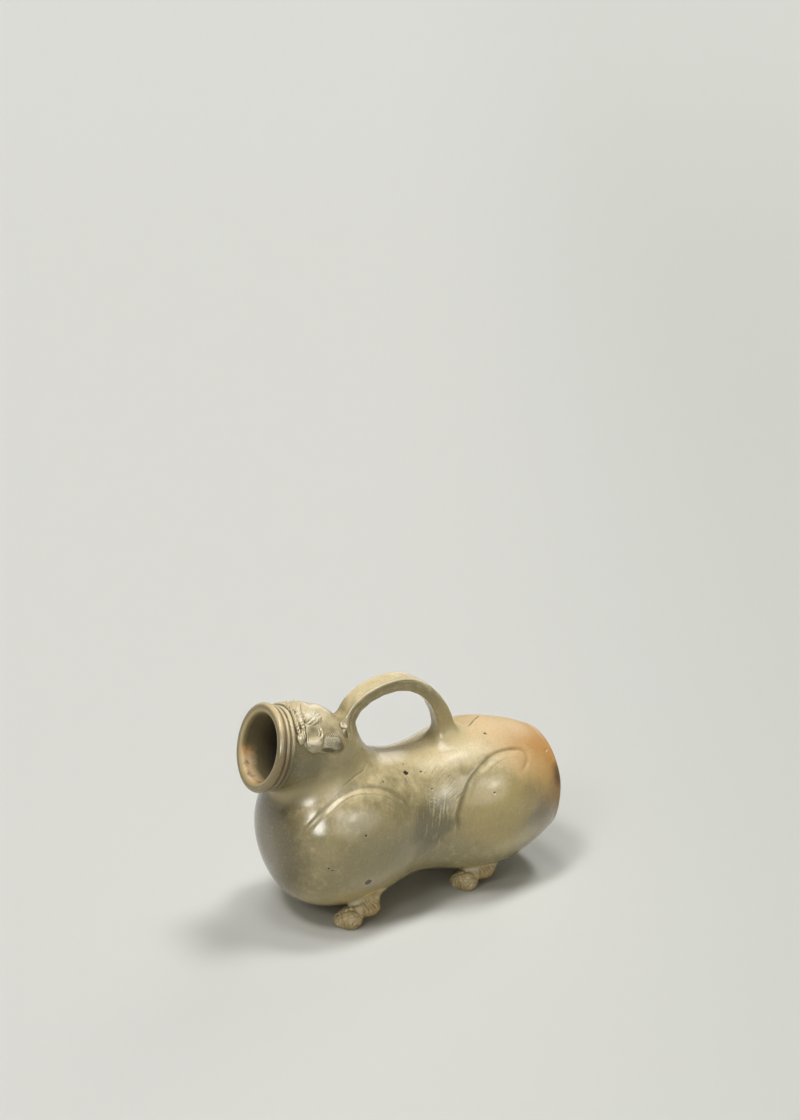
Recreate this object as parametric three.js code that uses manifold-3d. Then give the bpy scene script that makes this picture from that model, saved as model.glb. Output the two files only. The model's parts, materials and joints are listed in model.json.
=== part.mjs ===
// A tiger-shaped stoneware jug, in millimetres, +Z up. It looks along -Y, its left flank is +X,
// and it stands on z = 0 on four flat paws. The belly is two thrown bowls laid on their sides and
// luted rim to rim at the waist. The neck is a thrown tube that is also the head, and the face,
// the handle and the legs are pieces of clay luted onto these.
import * as THREE from 'three';
import { mergeVertices } from 'three/addons/utils/BufferGeometryUtils.js';
import Module from 'manifold-3d';

const wasm = await Module();
wasm.setup();

// Clay joints
const LUTE_GAP = 0.3;

// Belly: radii of its rings and the distances between them along the jug
const BELLY_CLEARANCE = 6.5;
const CHEST_RADIUS = 58;
const WAIST_RADIUS = 47.5;
const HAUNCH_RADIUS = 57.3;
const TAIL_DISC_RADIUS = 41;
const DOME_LENGTH = 62.5;
const CHEST_TO_WAIST = 49.5;
const WAIST_TO_HAUNCH = 58.5;
const HAUNCH_TO_TAIL = 54;
const BODY_WALL = 6;
const TAIL_DISC_THICKNESS = 8;
const TAIL_RIM_ROUND = 4;
const DOME_SQUARENESS = 2.7;
const TAIL_FALL = 1.7;

// Neck: a tube with a rolled lip and turned rings, closed by the round back of the head
const MOUTH_FORWARD = 68.7;
const MOUTH_RISE = 18.1;
const MOUTH_TILT_DEGREES = 17.1;
const BORE_RADIUS = 24;
const NECK_WALL = 5.3;
const NECK_LENGTH = 40;
const SKULL_LENGTH = 45;
const LIP_WIDTH = 6;
const LIP_PROUD = 2.9;
const LIP_BEVEL = 3;
const LIP_SQUARENESS = 2.5;
const RING_COUNT = 2;
const RING_PITCH = 4.4;
const RING_PROUD = 1.8;

// Crown: the pad of clay over the top of the head
const CROWN_START = 17;
const CROWN_LENGTH = 43;
const CROWN_WIDTH = 50;
const CROWN_PROUD = 3.6;
const CROWN_DEPTH = 11;

// Face: places are along the neck from the mouth, and round it from its top
const NOSE_BEHIND_RINGS = 5;
const NOSE_WIDTH = 15;
const NOSE_LENGTH = 13;
const NOSE_HEIGHT = 11;
const NOSTRIL_RADIUS = 1.8;
const NOSTRIL_FORWARD = 5.2;
const NOSTRIL_RISE = 3.3;
const NOSTRIL_SPACING = 6;
const LIP_BAND_START_DEGREES = 14;
const LIP_BAND_END_DEGREES = 66;
const LIP_BAND_THICKNESS = 6;
const EYE_PLACE = 29;
const EYE_DEGREES = 54;
const EYEBALL_LENGTH = 11;
const EYEBALL_WIDTH = 9;
const EYEBALL_HEIGHT = 9;
const EYELID_THICKNESS = 3.2;
const BROW_PLACE = 28;
const BROW_DEGREES = 31;
const BROW_LENGTH = 18;
const BROW_WIDTH = 13;
const BROW_HEIGHT = 9;
const BROW_RISE = 1.8;
const EAR_PLACE = 46;
const EAR_DEGREES = 57;
const EAR_LENGTH = 19;
const EAR_WIDTH = 16;
const EAR_HEIGHT = 9;
const EAR_LEAN_DEGREES = 12;
const PELLET_PLACE = 57;
const PELLET_DEGREES = 30;
const PELLET_RADIUS = 3.5;
const PELLET_HEIGHT = 6;
const DIMPLE_RADIUS = 1.5;

// Handle: an arched strap from the back of the head to the back
const HANDLE_WIDTH = 16;
const HANDLE_THICKNESS = 10;
const HANDLE_EDGE_ROUND = 3.2;
const HANDLE_RISE = 55;
const HANDLE_APEX_FORWARD = 10.5;
const HANDLE_HEAD_SEAT = 67;
const HANDLE_BACK_SEAT = 33;
const HANDLE_ROOT = 12;
const HANDLE_FLARE = 3;
const HANDLE_FLARE_HEIGHT = 9;

// Legs: each is a paw with toes in front, and an upright shank with its heel behind
const FORELEG_INSET = 22;
const FOREPAW_FORWARD = 14;
const HINDLEG_INSET = 29.8;
const HINDPAW_FORWARD = 20;
const PAW_WIDTH = 19;
const PAW_LENGTH = 20;
const PAW_HEIGHT = 17;
const SOLE_CUT = 2;
const TOE_COUNT = 3;
const TOE_RADIUS = 4.4;
const TOE_SINK = 0.5;
const TOE_SPREAD_DEGREES = 42;
const HEEL_SETBACK = 16;
const HEEL_LIFT = 3;
const HEEL_WIDTH = 12;
const HEEL_LENGTH = 12;
const SHANK_SPLAY_DEGREES = 9;
const FOOT_THICKNESS = 12;

// Glaze
const OLIVE_GLAZE = 0x9a9474;
const TAN_GLAZE = 0xc3a273;
const PALE_GLAZE = 0xb7b08e;
const GLAZE_ROUGHNESS = 0.35;

// Facets round each shape, and steps along it
const BELLY_SIDES = 36;
const DOME_STEPS = 8;
const SWELL_STEPS = 6;
const TAIL_STEPS = 5;
const RIM_STEPS = 2;
const NECK_SIDES = 32;
const SKULL_STEPS = 7;
const BAND_STEPS = 4;
const BALL_SIDES = 12;
const BALL_STEPS = 8;
const BEAD_SIDES = 8;
const BEAD_STEPS = 6;
const STRING_SIDES = 4;
const STRING_STEPS = 9;
const LID_SIDES = 6;
const LID_STEPS = 14;
const STRAP_STEPS = 26;
const SHANK_SIDES = 14;
const WELD = 1e-4;

// What follows from the driving dimensions. The chest ring is at y = 0 until the jug is centred.
const AXIS_HEIGHT = BELLY_CLEARANCE + CHEST_RADIUS;
const WAIST_Y = CHEST_TO_WAIST;
const HAUNCH_Y = WAIST_Y + WAIST_TO_HAUNCH;
const TAIL_Y = HAUNCH_Y + HAUNCH_TO_TAIL;
const NECK_RADIUS = BORE_RADIUS + NECK_WALL;
const RINGS_END = LIP_WIDTH + RING_COUNT * RING_PITCH;
const NECK_END = NECK_LENGTH + SKULL_LENGTH;
const FORELEG_SPREAD = CHEST_RADIUS - FORELEG_INSET;
const HINDLEG_SPREAD = HAUNCH_RADIUS - HINDLEG_INSET;

const radians = THREE.MathUtils.degToRad;
const inBodyFrame = new THREE.Matrix4().makeTranslation(0, 0, AXIS_HEIGHT);
const inNeckFrame = new THREE.Matrix4()
  .makeTranslation(0, -MOUTH_FORWARD, AXIS_HEIGHT + CHEST_RADIUS + MOUTH_RISE)
  .multiply(new THREE.Matrix4().makeRotationX(-radians(MOUTH_TILT_DEGREES)));

// A closed geometry as a solid that can be joined and cut. Triangles that collapse on an axis are dropped.
function solid(geometry, placement = new THREE.Matrix4()) {
  const bare = geometry.clone();
  bare.deleteAttribute('normal');
  bare.deleteAttribute('uv');
  const merged = mergeVertices(bare, WELD);
  merged.applyMatrix4(placement);
  const corners = merged.index.array;
  const kept = [];
  for (let i = 0; i < corners.length; i += 3) {
    const [a, b, c] = corners.slice(i, i + 3);
    if (a !== b && b !== c && c !== a) kept.push(a, b, c);
  }
  return new wasm.Manifold(
    new wasm.Mesh({
      numProp: 3,
      vertProperties: new Float32Array(merged.attributes.position.array),
      triVerts: new Uint32Array(kept),
    }),
  );
}

function geometryOf(body) {
  const mesh = body.getMesh();
  const geometry = new THREE.BufferGeometry();
  geometry.setAttribute('position', new THREE.BufferAttribute(mesh.vertProperties, 3));
  geometry.setIndex(new THREE.BufferAttribute(mesh.triVerts, 1));
  geometry.computeVertexNormals();
  return geometry;
}

// What is left of a piece once its supports are cut away: its largest body.
function seated(piece, ...supports) {
  const cut = supports.reduce((left, support) => left.subtract(support), piece);
  const bodies = cut.decompose();
  return bodies.reduce((best, body) => (body.volume() > best.volume() ? body : best));
}

function glazed(name, body, colour) {
  const material = new THREE.MeshStandardMaterial({ color: colour, roughness: GLAZE_ROUGHNESS });
  const mesh = new THREE.Mesh(geometryOf(body), material);
  mesh.name = name;
  return mesh;
}

function lathe(profile, sides) {
  return new THREE.LatheGeometry(
    profile.map(([radius, y]) => new THREE.Vector2(radius, y)),
    sides,
  );
}

function ellipsoid(width, length, height, grow = 0) {
  const ball = new THREE.SphereGeometry(1, BALL_SIDES, BALL_STEPS);
  return ball.scale(width / 2 + grow, length / 2 + grow, height / 2 + grow);
}

function steps(count) {
  return Array.from({ length: count + 1 }, (_, i) => i / count);
}

// Belly

// The dome before the chest ring, a superellipse that is blunter than a sphere
function domeProfile(inset) {
  return steps(DOME_STEPS).map((share) => {
    const turn = share * Math.PI * 0.5;
    const power = 2 / DOME_SQUARENESS;
    return [
      (CHEST_RADIUS - inset) * Math.sin(turn) ** power,
      -(DOME_LENGTH - inset) * Math.cos(turn) ** power,
    ];
  });
}

// A smooth swell between two rings of the belly
function swellProfile(fromY, toY, fromRadius, toRadius, inset) {
  return steps(SWELL_STEPS).map((share) => {
    const blend = 0.5 - 0.5 * Math.cos(Math.PI * share);
    return [fromRadius + (toRadius - fromRadius) * blend - inset, fromY + (toY - fromY) * share];
  });
}

function tailProfile(endY, inset) {
  return steps(TAIL_STEPS).map((share) => {
    const drop = (HAUNCH_RADIUS - TAIL_DISC_RADIUS) * share ** TAIL_FALL;
    return [HAUNCH_RADIUS - drop - inset, HAUNCH_Y + (endY - HAUNCH_Y) * share];
  });
}

function foreProfile(inset) {
  const swell = swellProfile(0, WAIST_Y, CHEST_RADIUS, WAIST_RADIUS, inset);
  return [...domeProfile(inset), ...swell.slice(1)];
}

function hindProfile(startY, endY, inset) {
  const swell = swellProfile(startY, HAUNCH_Y, WAIST_RADIUS, HAUNCH_RADIUS, inset);
  return [...swell, ...tailProfile(endY, inset).slice(1)];
}

// The rounded rim of the tail disc, ending on the axis
function tailDiscProfile(grow) {
  const rim = steps(RIM_STEPS).map((share) => {
    const turn = share * Math.PI * 0.5;
    return [
      TAIL_DISC_RADIUS - TAIL_RIM_ROUND * (1 - Math.cos(turn)) + grow,
      TAIL_Y - TAIL_RIM_ROUND * (1 - Math.sin(turn)) + grow,
    ];
  });
  return [...rim.slice(1), [0, TAIL_Y + grow]];
}

// The whole outside of the belly, grown by the joint gap to cut what is luted onto it
function bellyEnvelope(grow) {
  const hind = hindProfile(WAIST_Y, TAIL_Y - TAIL_RIM_ROUND, -grow).slice(1);
  const profile = [...foreProfile(-grow), ...hind, ...tailDiscProfile(grow)];
  return solid(lathe(profile, BELLY_SIDES), inBodyFrame);
}

function foreBowl() {
  const profile = [...foreProfile(0), ...foreProfile(BODY_WALL).reverse()];
  return solid(lathe(profile, BELLY_SIDES), inBodyFrame);
}

function hindBowl() {
  const rimY = WAIST_Y + LUTE_GAP;
  const outside = [...hindProfile(rimY, TAIL_Y - TAIL_RIM_ROUND, 0), ...tailDiscProfile(0)];
  const inside = hindProfile(rimY, TAIL_Y - TAIL_DISC_THICKNESS, BODY_WALL);
  inside.push([0, TAIL_Y - TAIL_DISC_THICKNESS]);
  return solid(lathe([...outside, ...inside.reverse(), outside[0]], BELLY_SIDES), inBodyFrame);
}

// Radius of the belly behind its waist, where the handle stands
function backRadius(y) {
  const blend = 0.5 - 0.5 * Math.cos((Math.PI * (y - WAIST_Y)) / WAIST_TO_HAUNCH);
  return WAIST_RADIUS + (HAUNCH_RADIUS - WAIST_RADIUS) * blend;
}

// Neck, in its own frame: the mouth at the origin, +Y back along the neck, +Z its top

function skullProfile(radius, start, end) {
  return steps(SKULL_STEPS).map((share) => {
    const turn = share * Math.PI * 0.5;
    return [radius * Math.cos(turn), start + (end - start) * Math.sin(turn)];
  });
}

function neckRadius(place) {
  const along = Math.max(0, place - NECK_LENGTH) / SKULL_LENGTH;
  return NECK_RADIUS * Math.sqrt(Math.max(0, 1 - along * along));
}

// A band that swells out of the neck, squarer in section as its squareness goes up
function swollen(start, width, proud, squareness) {
  return steps(BAND_STEPS).map((share) => {
    const swell = Math.max(0, Math.sin(Math.PI * share)) ** (1 / squareness);
    return [NECK_RADIUS + proud * swell, start + width * share];
  });
}

// Outside of the neck with its lip and rings, solid to the axis
function neckEnvelope(grow) {
  const lip = swollen(0, LIP_WIDTH, LIP_PROUD, LIP_SQUARENESS);
  const rings = [];
  for (let ring = 0; ring < RING_COUNT; ring += 1) {
    rings.push(...swollen(LIP_WIDTH + ring * RING_PITCH, RING_PITCH, RING_PROUD, 1).slice(1));
  }
  const profile = [
    [0, -grow],
    [NECK_RADIUS + grow, -grow],
    ...[...lip, ...rings].map(([radius, place]) => [radius + grow, place]),
    ...skullProfile(NECK_RADIUS + grow, NECK_LENGTH, NECK_END + grow),
  ];
  return solid(lathe(profile, NECK_SIDES), inNeckFrame);
}

// The way in, from the bevelled lip to where it opens into the belly
function neckBore() {
  const profile = [
    [0, -LIP_BEVEL],
    [BORE_RADIUS + LIP_BEVEL, -LIP_BEVEL],
    [BORE_RADIUS + LIP_BEVEL, 0],
    [BORE_RADIUS, LIP_BEVEL],
    ...skullProfile(BORE_RADIUS, NECK_LENGTH, NECK_END - NECK_WALL),
  ];
  return solid(lathe(profile, NECK_SIDES), inNeckFrame);
}

// A place on the neck: along it from the mouth, round it from its top, and out from its axis.
// There +Y runs back along the neck and +Z points out.
function onNeck(place, degrees, out) {
  return inNeckFrame
    .clone()
    .multiply(new THREE.Matrix4().makeTranslation(0, place, 0))
    .multiply(new THREE.Matrix4().makeRotationY(radians(degrees)))
    .multiply(new THREE.Matrix4().makeTranslation(0, 0, out));
}

// Face
function crown(grow) {
  const place = CROWN_START + CROWN_LENGTH * 0.5;
  const out = NECK_RADIUS + CROWN_PROUD - CROWN_DEPTH;
  return solid(ellipsoid(CROWN_WIDTH, CROWN_LENGTH, 2 * CROWN_DEPTH, grow), onNeck(place, 0, out));
}

function nose(grow) {
  const place = RINGS_END + NOSE_BEHIND_RINGS;
  const snout = ellipsoid(NOSE_WIDTH, NOSE_LENGTH, NOSE_HEIGHT, grow);
  return solid(snout, onNeck(place, 0, NECK_RADIUS));
}

function nostril(side) {
  const place = RINGS_END + NOSE_BEHIND_RINGS - NOSTRIL_FORWARD;
  const spot = onNeck(place, 0, NECK_RADIUS + NOSTRIL_RISE);
  spot.multiply(new THREE.Matrix4().makeTranslation((side * NOSTRIL_SPACING) / 2, 0, 0));
  return solid(new THREE.SphereGeometry(NOSTRIL_RADIUS, BEAD_SIDES, BEAD_STEPS), spot);
}

// Half of the upper lip: a string of clay bent round the neck just behind the rings
class LipLine extends THREE.Curve {
  constructor(side) {
    super();
    this.side = side;
  }

  getPoint(share, target = new THREE.Vector3()) {
    const span = LIP_BAND_END_DEGREES - LIP_BAND_START_DEGREES;
    const turn = this.side * radians(LIP_BAND_START_DEGREES + span * share);
    const place = RINGS_END + LIP_BAND_THICKNESS * 0.5 + LUTE_GAP;
    return target.set(NECK_RADIUS * Math.sin(turn), place, NECK_RADIUS * Math.cos(turn));
  }
}

function lipBand(side, grow) {
  const section = new THREE.Shape();
  section.absarc(0, 0, LIP_BAND_THICKNESS * 0.5 + grow, 0, 2 * Math.PI);
  const string = new THREE.ExtrudeGeometry(section, {
    steps: STRING_STEPS,
    curveSegments: STRING_SIDES,
    extrudePath: new LipLine(side),
  });
  return solid(string, inNeckFrame);
}

function eyeSpot(side) {
  return onNeck(EYE_PLACE, side * EYE_DEGREES, NECK_RADIUS);
}

function eyeball(side, grow) {
  return solid(ellipsoid(EYEBALL_WIDTH, EYEBALL_LENGTH, EYEBALL_HEIGHT, grow), eyeSpot(side));
}

// A rolled string of clay round the eyeball
function eyelid(side, grow) {
  const tube = EYELID_THICKNESS / (EYEBALL_WIDTH + EYELID_THICKNESS);
  const ring = new THREE.TorusGeometry(1, tube, LID_SIDES, LID_STEPS);
  const reach = (EYELID_THICKNESS + EYEBALL_WIDTH) / 2;
  const stretch = (EYELID_THICKNESS + EYEBALL_LENGTH) / 2;
  return solid(ring.scale(reach + grow, stretch + grow, reach + grow), eyeSpot(side));
}

function brow(side, grow) {
  const spot = onNeck(BROW_PLACE, side * BROW_DEGREES, NECK_RADIUS + BROW_RISE);
  return solid(ellipsoid(BROW_WIDTH, BROW_LENGTH, BROW_HEIGHT, grow), spot);
}

function ear(side, grow) {
  const spot = onNeck(EAR_PLACE, side * EAR_DEGREES, neckRadius(EAR_PLACE));
  spot.multiply(new THREE.Matrix4().makeRotationX(radians(EAR_LEAN_DEGREES)));
  return solid(ellipsoid(EAR_WIDTH, EAR_LENGTH, EAR_HEIGHT, grow), spot);
}

// A pellet with a dimple in it, like the head of a rivet
function pellet(side) {
  const spot = onNeck(PELLET_PLACE, side * PELLET_DEGREES, neckRadius(PELLET_PLACE));
  const bead = solid(ellipsoid(2 * PELLET_RADIUS, 2 * PELLET_RADIUS, PELLET_HEIGHT), spot);
  const top = spot.clone().multiply(new THREE.Matrix4().makeTranslation(0, 0, PELLET_HEIGHT / 2));
  return bead.subtract(solid(new THREE.SphereGeometry(DIMPLE_RADIUS, BEAD_SIDES, BEAD_STEPS), top));
}

// Handle: up out of the head, over the waist in two quarter ellipses, and down into the back
const HANDLE_APEX_Y = WAIST_Y - HANDLE_APEX_FORWARD;
const HANDLE_APEX_Z = AXIS_HEIGHT + WAIST_RADIUS + HANDLE_RISE;
const HEAD_SEAT = new THREE.Vector3().setFromMatrixPosition(
  onNeck(HANDLE_HEAD_SEAT, 0, neckRadius(HANDLE_HEAD_SEAT)),
);
const BACK_SEAT = new THREE.Vector3(
  0,
  WAIST_Y + HANDLE_BACK_SEAT,
  AXIS_HEIGHT + backRadius(WAIST_Y + HANDLE_BACK_SEAT),
);

class HandleLine extends THREE.Curve {
  getPoint(share, target = new THREE.Vector3()) {
    const seat = share < 0.5 ? HEAD_SEAT : BACK_SEAT;
    const walk = Math.abs(share - 0.5) * 2;
    const bend = HANDLE_APEX_Z - seat.z;
    const archShare = bend / (bend + HANDLE_ROOT);
    const turn = Math.min(1, walk / archShare) * Math.PI * 0.5;
    const sink = (Math.max(0, walk - archShare) / (1 - archShare)) * HANDLE_ROOT;
    return target.set(
      0,
      HANDLE_APEX_Y + (seat.y - HANDLE_APEX_Y) * Math.sin(turn),
      HANDLE_APEX_Z - bend * (1 - Math.cos(turn)) - sink,
    );
  }
}

function strapSection() {
  const x = HANDLE_THICKNESS / 2 - HANDLE_EDGE_ROUND;
  const y = HANDLE_WIDTH / 2 - HANDLE_EDGE_ROUND;
  const section = new THREE.Shape();
  section.absarc(x, y, HANDLE_EDGE_ROUND, 0, Math.PI / 2);
  section.absarc(-x, y, HANDLE_EDGE_ROUND, Math.PI / 2, Math.PI);
  section.absarc(-x, -y, HANDLE_EDGE_ROUND, Math.PI, Math.PI * 1.5);
  section.absarc(x, -y, HANDLE_EDGE_ROUND, Math.PI * 1.5, Math.PI * 2);
  return section;
}

function handleFlare(seat) {
  const width = HANDLE_WIDTH + 2 * HANDLE_FLARE;
  const length = HANDLE_THICKNESS + 2 * HANDLE_FLARE;
  const spot = new THREE.Matrix4().makeTranslation(seat.x, seat.y, seat.z);
  return solid(ellipsoid(width, length, 2 * HANDLE_FLARE_HEIGHT), spot);
}

function strapHandle() {
  const strap = new THREE.ExtrudeGeometry(strapSection(), {
    steps: STRAP_STEPS,
    curveSegments: 1,
    extrudePath: new HandleLine(),
  });
  return solid(strap).add(handleFlare(HEAD_SEAT)).add(handleFlare(BACK_SEAT));
}

// Legs
function aboveFloor(piece) {
  const reach = 2 * (TAIL_Y + DOME_LENGTH);
  const floor = new THREE.BoxGeometry(reach, reach, reach);
  return piece.subtract(solid(floor, new THREE.Matrix4().makeTranslation(0, 0, -reach / 2)));
}

function leg(side, spread, pawY) {
  const place = (x, y, z) => new THREE.Matrix4().makeTranslation(side * spread + x, pawY + y, z);
  const middle = PAW_HEIGHT / 2 - SOLE_CUT;
  let limb = solid(ellipsoid(PAW_WIDTH, PAW_LENGTH, PAW_HEIGHT), place(0, 0, middle));
  for (let toe = 0; toe < TOE_COUNT; toe += 1) {
    const fan = radians(TOE_SPREAD_DEGREES) * (toe - (TOE_COUNT - 1) / 2);
    const x = (PAW_WIDTH / 2 - TOE_RADIUS * TOE_SINK) * Math.sin(fan);
    const y = -(PAW_LENGTH / 2 - TOE_RADIUS * TOE_SINK) * Math.cos(fan);
    const bead = new THREE.SphereGeometry(TOE_RADIUS, BEAD_SIDES, BEAD_STEPS);
    limb = limb.add(solid(bead, place(x, y, TOE_RADIUS - SOLE_CUT)));
  }
  const footLength = HEEL_SETBACK + HEEL_LENGTH;
  const foot = ellipsoid(HEEL_WIDTH, footLength, FOOT_THICKNESS);
  limb = limb.add(solid(foot, place(0, HEEL_SETBACK / 2, HEEL_LIFT + FOOT_THICKNESS / 2)));
  const shankHeight = AXIS_HEIGHT - HEEL_LIFT;
  const splay = (2 * shankHeight * Math.tan(radians(SHANK_SPLAY_DEGREES))) / HEEL_WIDTH;
  const shank = new THREE.CylinderGeometry(0.5 + splay / 2, 0.5, shankHeight, SHANK_SIDES);
  shank.rotateX(Math.PI / 2);
  shank.scale(HEEL_WIDTH, HEEL_LENGTH, 1);
  limb = limb.add(solid(shank, place(0, HEEL_SETBACK, HEEL_LIFT + shankHeight / 2)));
  return aboveFloor(limb);
}

// The jug: each piece is cut clear of what it is luted onto
const belly = bellyEnvelope(LUTE_GAP);
const neck = neckEnvelope(LUTE_GAP);
const bore = neckBore();
const crownSeat = crown(LUTE_GAP);
const head = [belly, neck, crownSeat];

const jug = new THREE.Group();
jug.add(glazed('fore_body', seated(foreBowl(), bore), OLIVE_GLAZE));
jug.add(glazed('hind_body', hindBowl(), TAN_GLAZE));
jug.add(glazed('mouth_collar', seated(neckEnvelope(0), bore, belly), OLIVE_GLAZE));
jug.add(glazed('crown_pad', seated(crown(0), neck), PALE_GLAZE));
jug.add(glazed('nose', seated(nose(0), ...head, nostril(1), nostril(-1)), PALE_GLAZE));

const handleBody = seated(strapHandle(), ...head);
jug.add(glazed('handle', handleBody, OLIVE_GLAZE));

for (const [suffix, side] of [['left', 1], ['right', -1]]) {
  const lipSupports = [...head, nose(LUTE_GAP)];
  jug.add(glazed(`lip_${suffix}`, seated(lipBand(side, 0), ...lipSupports), PALE_GLAZE));
  const browSupports = [...lipSupports, lipBand(side, LUTE_GAP)];
  jug.add(glazed(`brow_${suffix}`, seated(brow(side, 0), ...browSupports), PALE_GLAZE));
  const eyeSupports = [...browSupports, brow(side, LUTE_GAP)];
  jug.add(glazed(`eyeball_${suffix}`, seated(eyeball(side, 0), ...eyeSupports), PALE_GLAZE));
  const lidSupports = [...eyeSupports, eyeball(side, LUTE_GAP)];
  jug.add(glazed(`eyelid_${suffix}`, seated(eyelid(side, 0), ...lidSupports), PALE_GLAZE));
  const earSupports = [...lidSupports, eyelid(side, LUTE_GAP)];
  jug.add(glazed(`ear_${suffix}`, seated(ear(side, 0), ...earSupports), PALE_GLAZE));
  const pelletSupports = [...head, strapHandle(), ear(side, LUTE_GAP)];
  jug.add(glazed(`rivet_pellet_${suffix}`, seated(pellet(side), ...pelletSupports), PALE_GLAZE));
  const foreleg = leg(side, FORELEG_SPREAD, -FOREPAW_FORWARD);
  jug.add(glazed(`foreleg_${suffix}`, seated(foreleg, belly), TAN_GLAZE));
  const hindleg = leg(side, HINDLEG_SPREAD, HAUNCH_Y - HINDPAW_FORWARD);
  jug.add(glazed(`hindleg_${suffix}`, seated(hindleg, belly), TAN_GLAZE));
}

// The origin is the middle of the underside of the jug's box
const box = new THREE.Box3().setFromObject(jug);
jug.position.y = -(box.min.y + box.max.y) / 2;

export default jug;
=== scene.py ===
# %% [markdown]
# # A tiger-shaped stoneware jug
# The jug is fired clay: two thrown bowls laid on their sides for a belly, a thrown neck that is also
# the head, and a face, a handle and legs that were luted on and smoothed into it by thumb. A celadon
# glaze covers the whole, and the fire scorched the tail end to tan.
# The frame is the plain solid model. It says where each piece is, and every piece here replaces one
# of its nodes, in metres and in the same place.

# %% Load the frame
import json
import math

import bpy
import numpy as np
from mathutils import Matrix, Vector


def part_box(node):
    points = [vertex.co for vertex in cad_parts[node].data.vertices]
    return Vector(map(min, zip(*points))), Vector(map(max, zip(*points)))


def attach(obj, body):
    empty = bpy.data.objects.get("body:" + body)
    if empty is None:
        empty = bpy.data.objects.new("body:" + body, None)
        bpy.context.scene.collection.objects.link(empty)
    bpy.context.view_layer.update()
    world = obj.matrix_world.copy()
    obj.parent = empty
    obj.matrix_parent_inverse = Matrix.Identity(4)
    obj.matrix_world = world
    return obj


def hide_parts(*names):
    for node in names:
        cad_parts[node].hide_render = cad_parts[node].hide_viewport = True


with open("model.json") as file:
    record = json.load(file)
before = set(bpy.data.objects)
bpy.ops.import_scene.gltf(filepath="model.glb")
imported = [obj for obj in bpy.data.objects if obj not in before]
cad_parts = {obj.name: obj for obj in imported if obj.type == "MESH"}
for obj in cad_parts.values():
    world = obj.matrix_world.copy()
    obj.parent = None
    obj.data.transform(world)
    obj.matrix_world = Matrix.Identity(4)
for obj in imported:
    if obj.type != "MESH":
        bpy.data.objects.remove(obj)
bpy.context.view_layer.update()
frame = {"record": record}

MM = 0.001

# %% [markdown]
# ## The viewpoint
# The camera stands where the photograph was taken: in front of the jug's left flank and above it, with
# a long lens. Its place and its axes are written out, because they were solved from the outline of
# the jug and not chosen by eye. The frame is upright, so the sensor's 36 mm are its long side.

# %% Camera
CAMERA_PLACE = Vector((1.44743, -0.79017, 0.89894))
CAMERA_RIGHT = Vector((0.48105, 0.87669, 0.0))
CAMERA_UP = Vector((-0.31587, 0.17332, 0.93284))
CAMERA_BACK = Vector((0.81781, -0.44875, 0.36030))
LENS, SENSOR = 80.05, 36

camera_data = bpy.data.cameras.new("viewpoint")
camera_data.lens, camera_data.sensor_width = LENS, SENSOR
camera = bpy.data.objects.new("viewpoint", camera_data)
axes = Matrix((CAMERA_RIGHT, CAMERA_UP, CAMERA_BACK)).transposed().to_4x4()
camera.matrix_world = Matrix.Translation(CAMERA_PLACE) @ axes
bpy.context.scene.collection.objects.link(camera)
bpy.context.scene.camera = camera
print("camera", round((CAMERA_PLACE - Vector((0, 0, 0.08))).length, 3), "m from the jug")

# %% [markdown]
# ## Clay as distances
# Pieces of soft clay that are smoothed together have no edges between them, so boxes and spheres with
# sharp joins look wrong. Each form here is instead a field: a function that gives the distance from
# any place to the form's skin, below nought inside. Two fields flow together when their smaller
# distance is rounded where they are nearly alike. That is what a thumb does along a luted joint.

# %% Rounded joins
def soft_step(low, high, value):
    share = np.clip((value - low) / (high - low), 0, 1)
    return share * share * (3 - 2 * share)


def hump(value, width):
    """1 where the value is nought, falling to about a third at the width."""
    return np.exp(-((value / width) ** 2))


def flow(first, second, reach):
    """The smaller of two distances, rounded where they differ by less than the reach."""
    overlap = np.maximum(reach - np.abs(first - second), 0) / reach
    return np.minimum(first, second) - overlap * overlap * reach / 4


def cut(first, second, reach):
    """The larger of two distances, rounded likewise."""
    return -flow(-first, -second, reach)


def egg(x, y, z, semi):
    """Distance to an ellipsoid of these half lengths at the origin, near enough close to its skin."""
    nearness = np.sqrt((x / semi[0]) ** 2 + (y / semi[1]) ** 2 + (z / semi[2]) ** 2)
    slope = np.sqrt((x / semi[0] ** 2) ** 2 + (y / semi[1] ** 2) ** 2 + (z / semi[2] ** 2) ** 2)
    return nearness * (nearness - 1) / np.maximum(slope, 1e-6)


def taper(x, y, z, start, end, start_radius, end_radius):
    """Distance to a rolled piece of clay between two points, thicker at one end."""
    along = np.subtract(end, start)
    share = (x - start[0]) * along[0] + (y - start[1]) * along[1] + (z - start[2]) * along[2]
    share = np.clip(share / (along @ along), 0, 1)
    gap = (x - start[0] - share * along[0]) ** 2 + (y - start[1] - share * along[1]) ** 2
    gap = np.sqrt(gap + (z - start[2] - share * along[2]) ** 2)
    return gap - start_radius - (end_radius - start_radius) * share


print("flow of two equal distances of 1 mm, reach 8 mm:", flow(np.array([1.0]), np.array([1.0]), 8.0)[0])

# %% [markdown]
# ## Thrown forms
# A thrown form is a profile turned about an axis. Its field depends only on the place along the axis
# and the distance from it, so it is worked out once on a flat table and then looked up. That is
# quicker than measuring the profile again for each of some million places.

# %% Tables of distances
def line_distance(u, v, line):
    """Distance in a plane to a line of points, and how far along the line the nearest place is."""
    best = np.full(np.shape(u), np.inf)
    place = np.zeros(np.shape(u))
    walked = 0.0
    for start, end in zip(line[:-1], line[1:]):
        along = end - start
        length = math.hypot(*along)
        if length == 0:
            continue
        share = np.clip(((u - start[0]) * along[0] + (v - start[1]) * along[1]) / length**2, 0, 1)
        gap = np.hypot(u - start[0] - share * along[0], v - start[1] - share * along[1])
        nearer = gap < best
        best = np.where(nearer, gap, best)
        place = np.where(nearer, walked + share * length, place)
        walked += length
    return best, place


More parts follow.
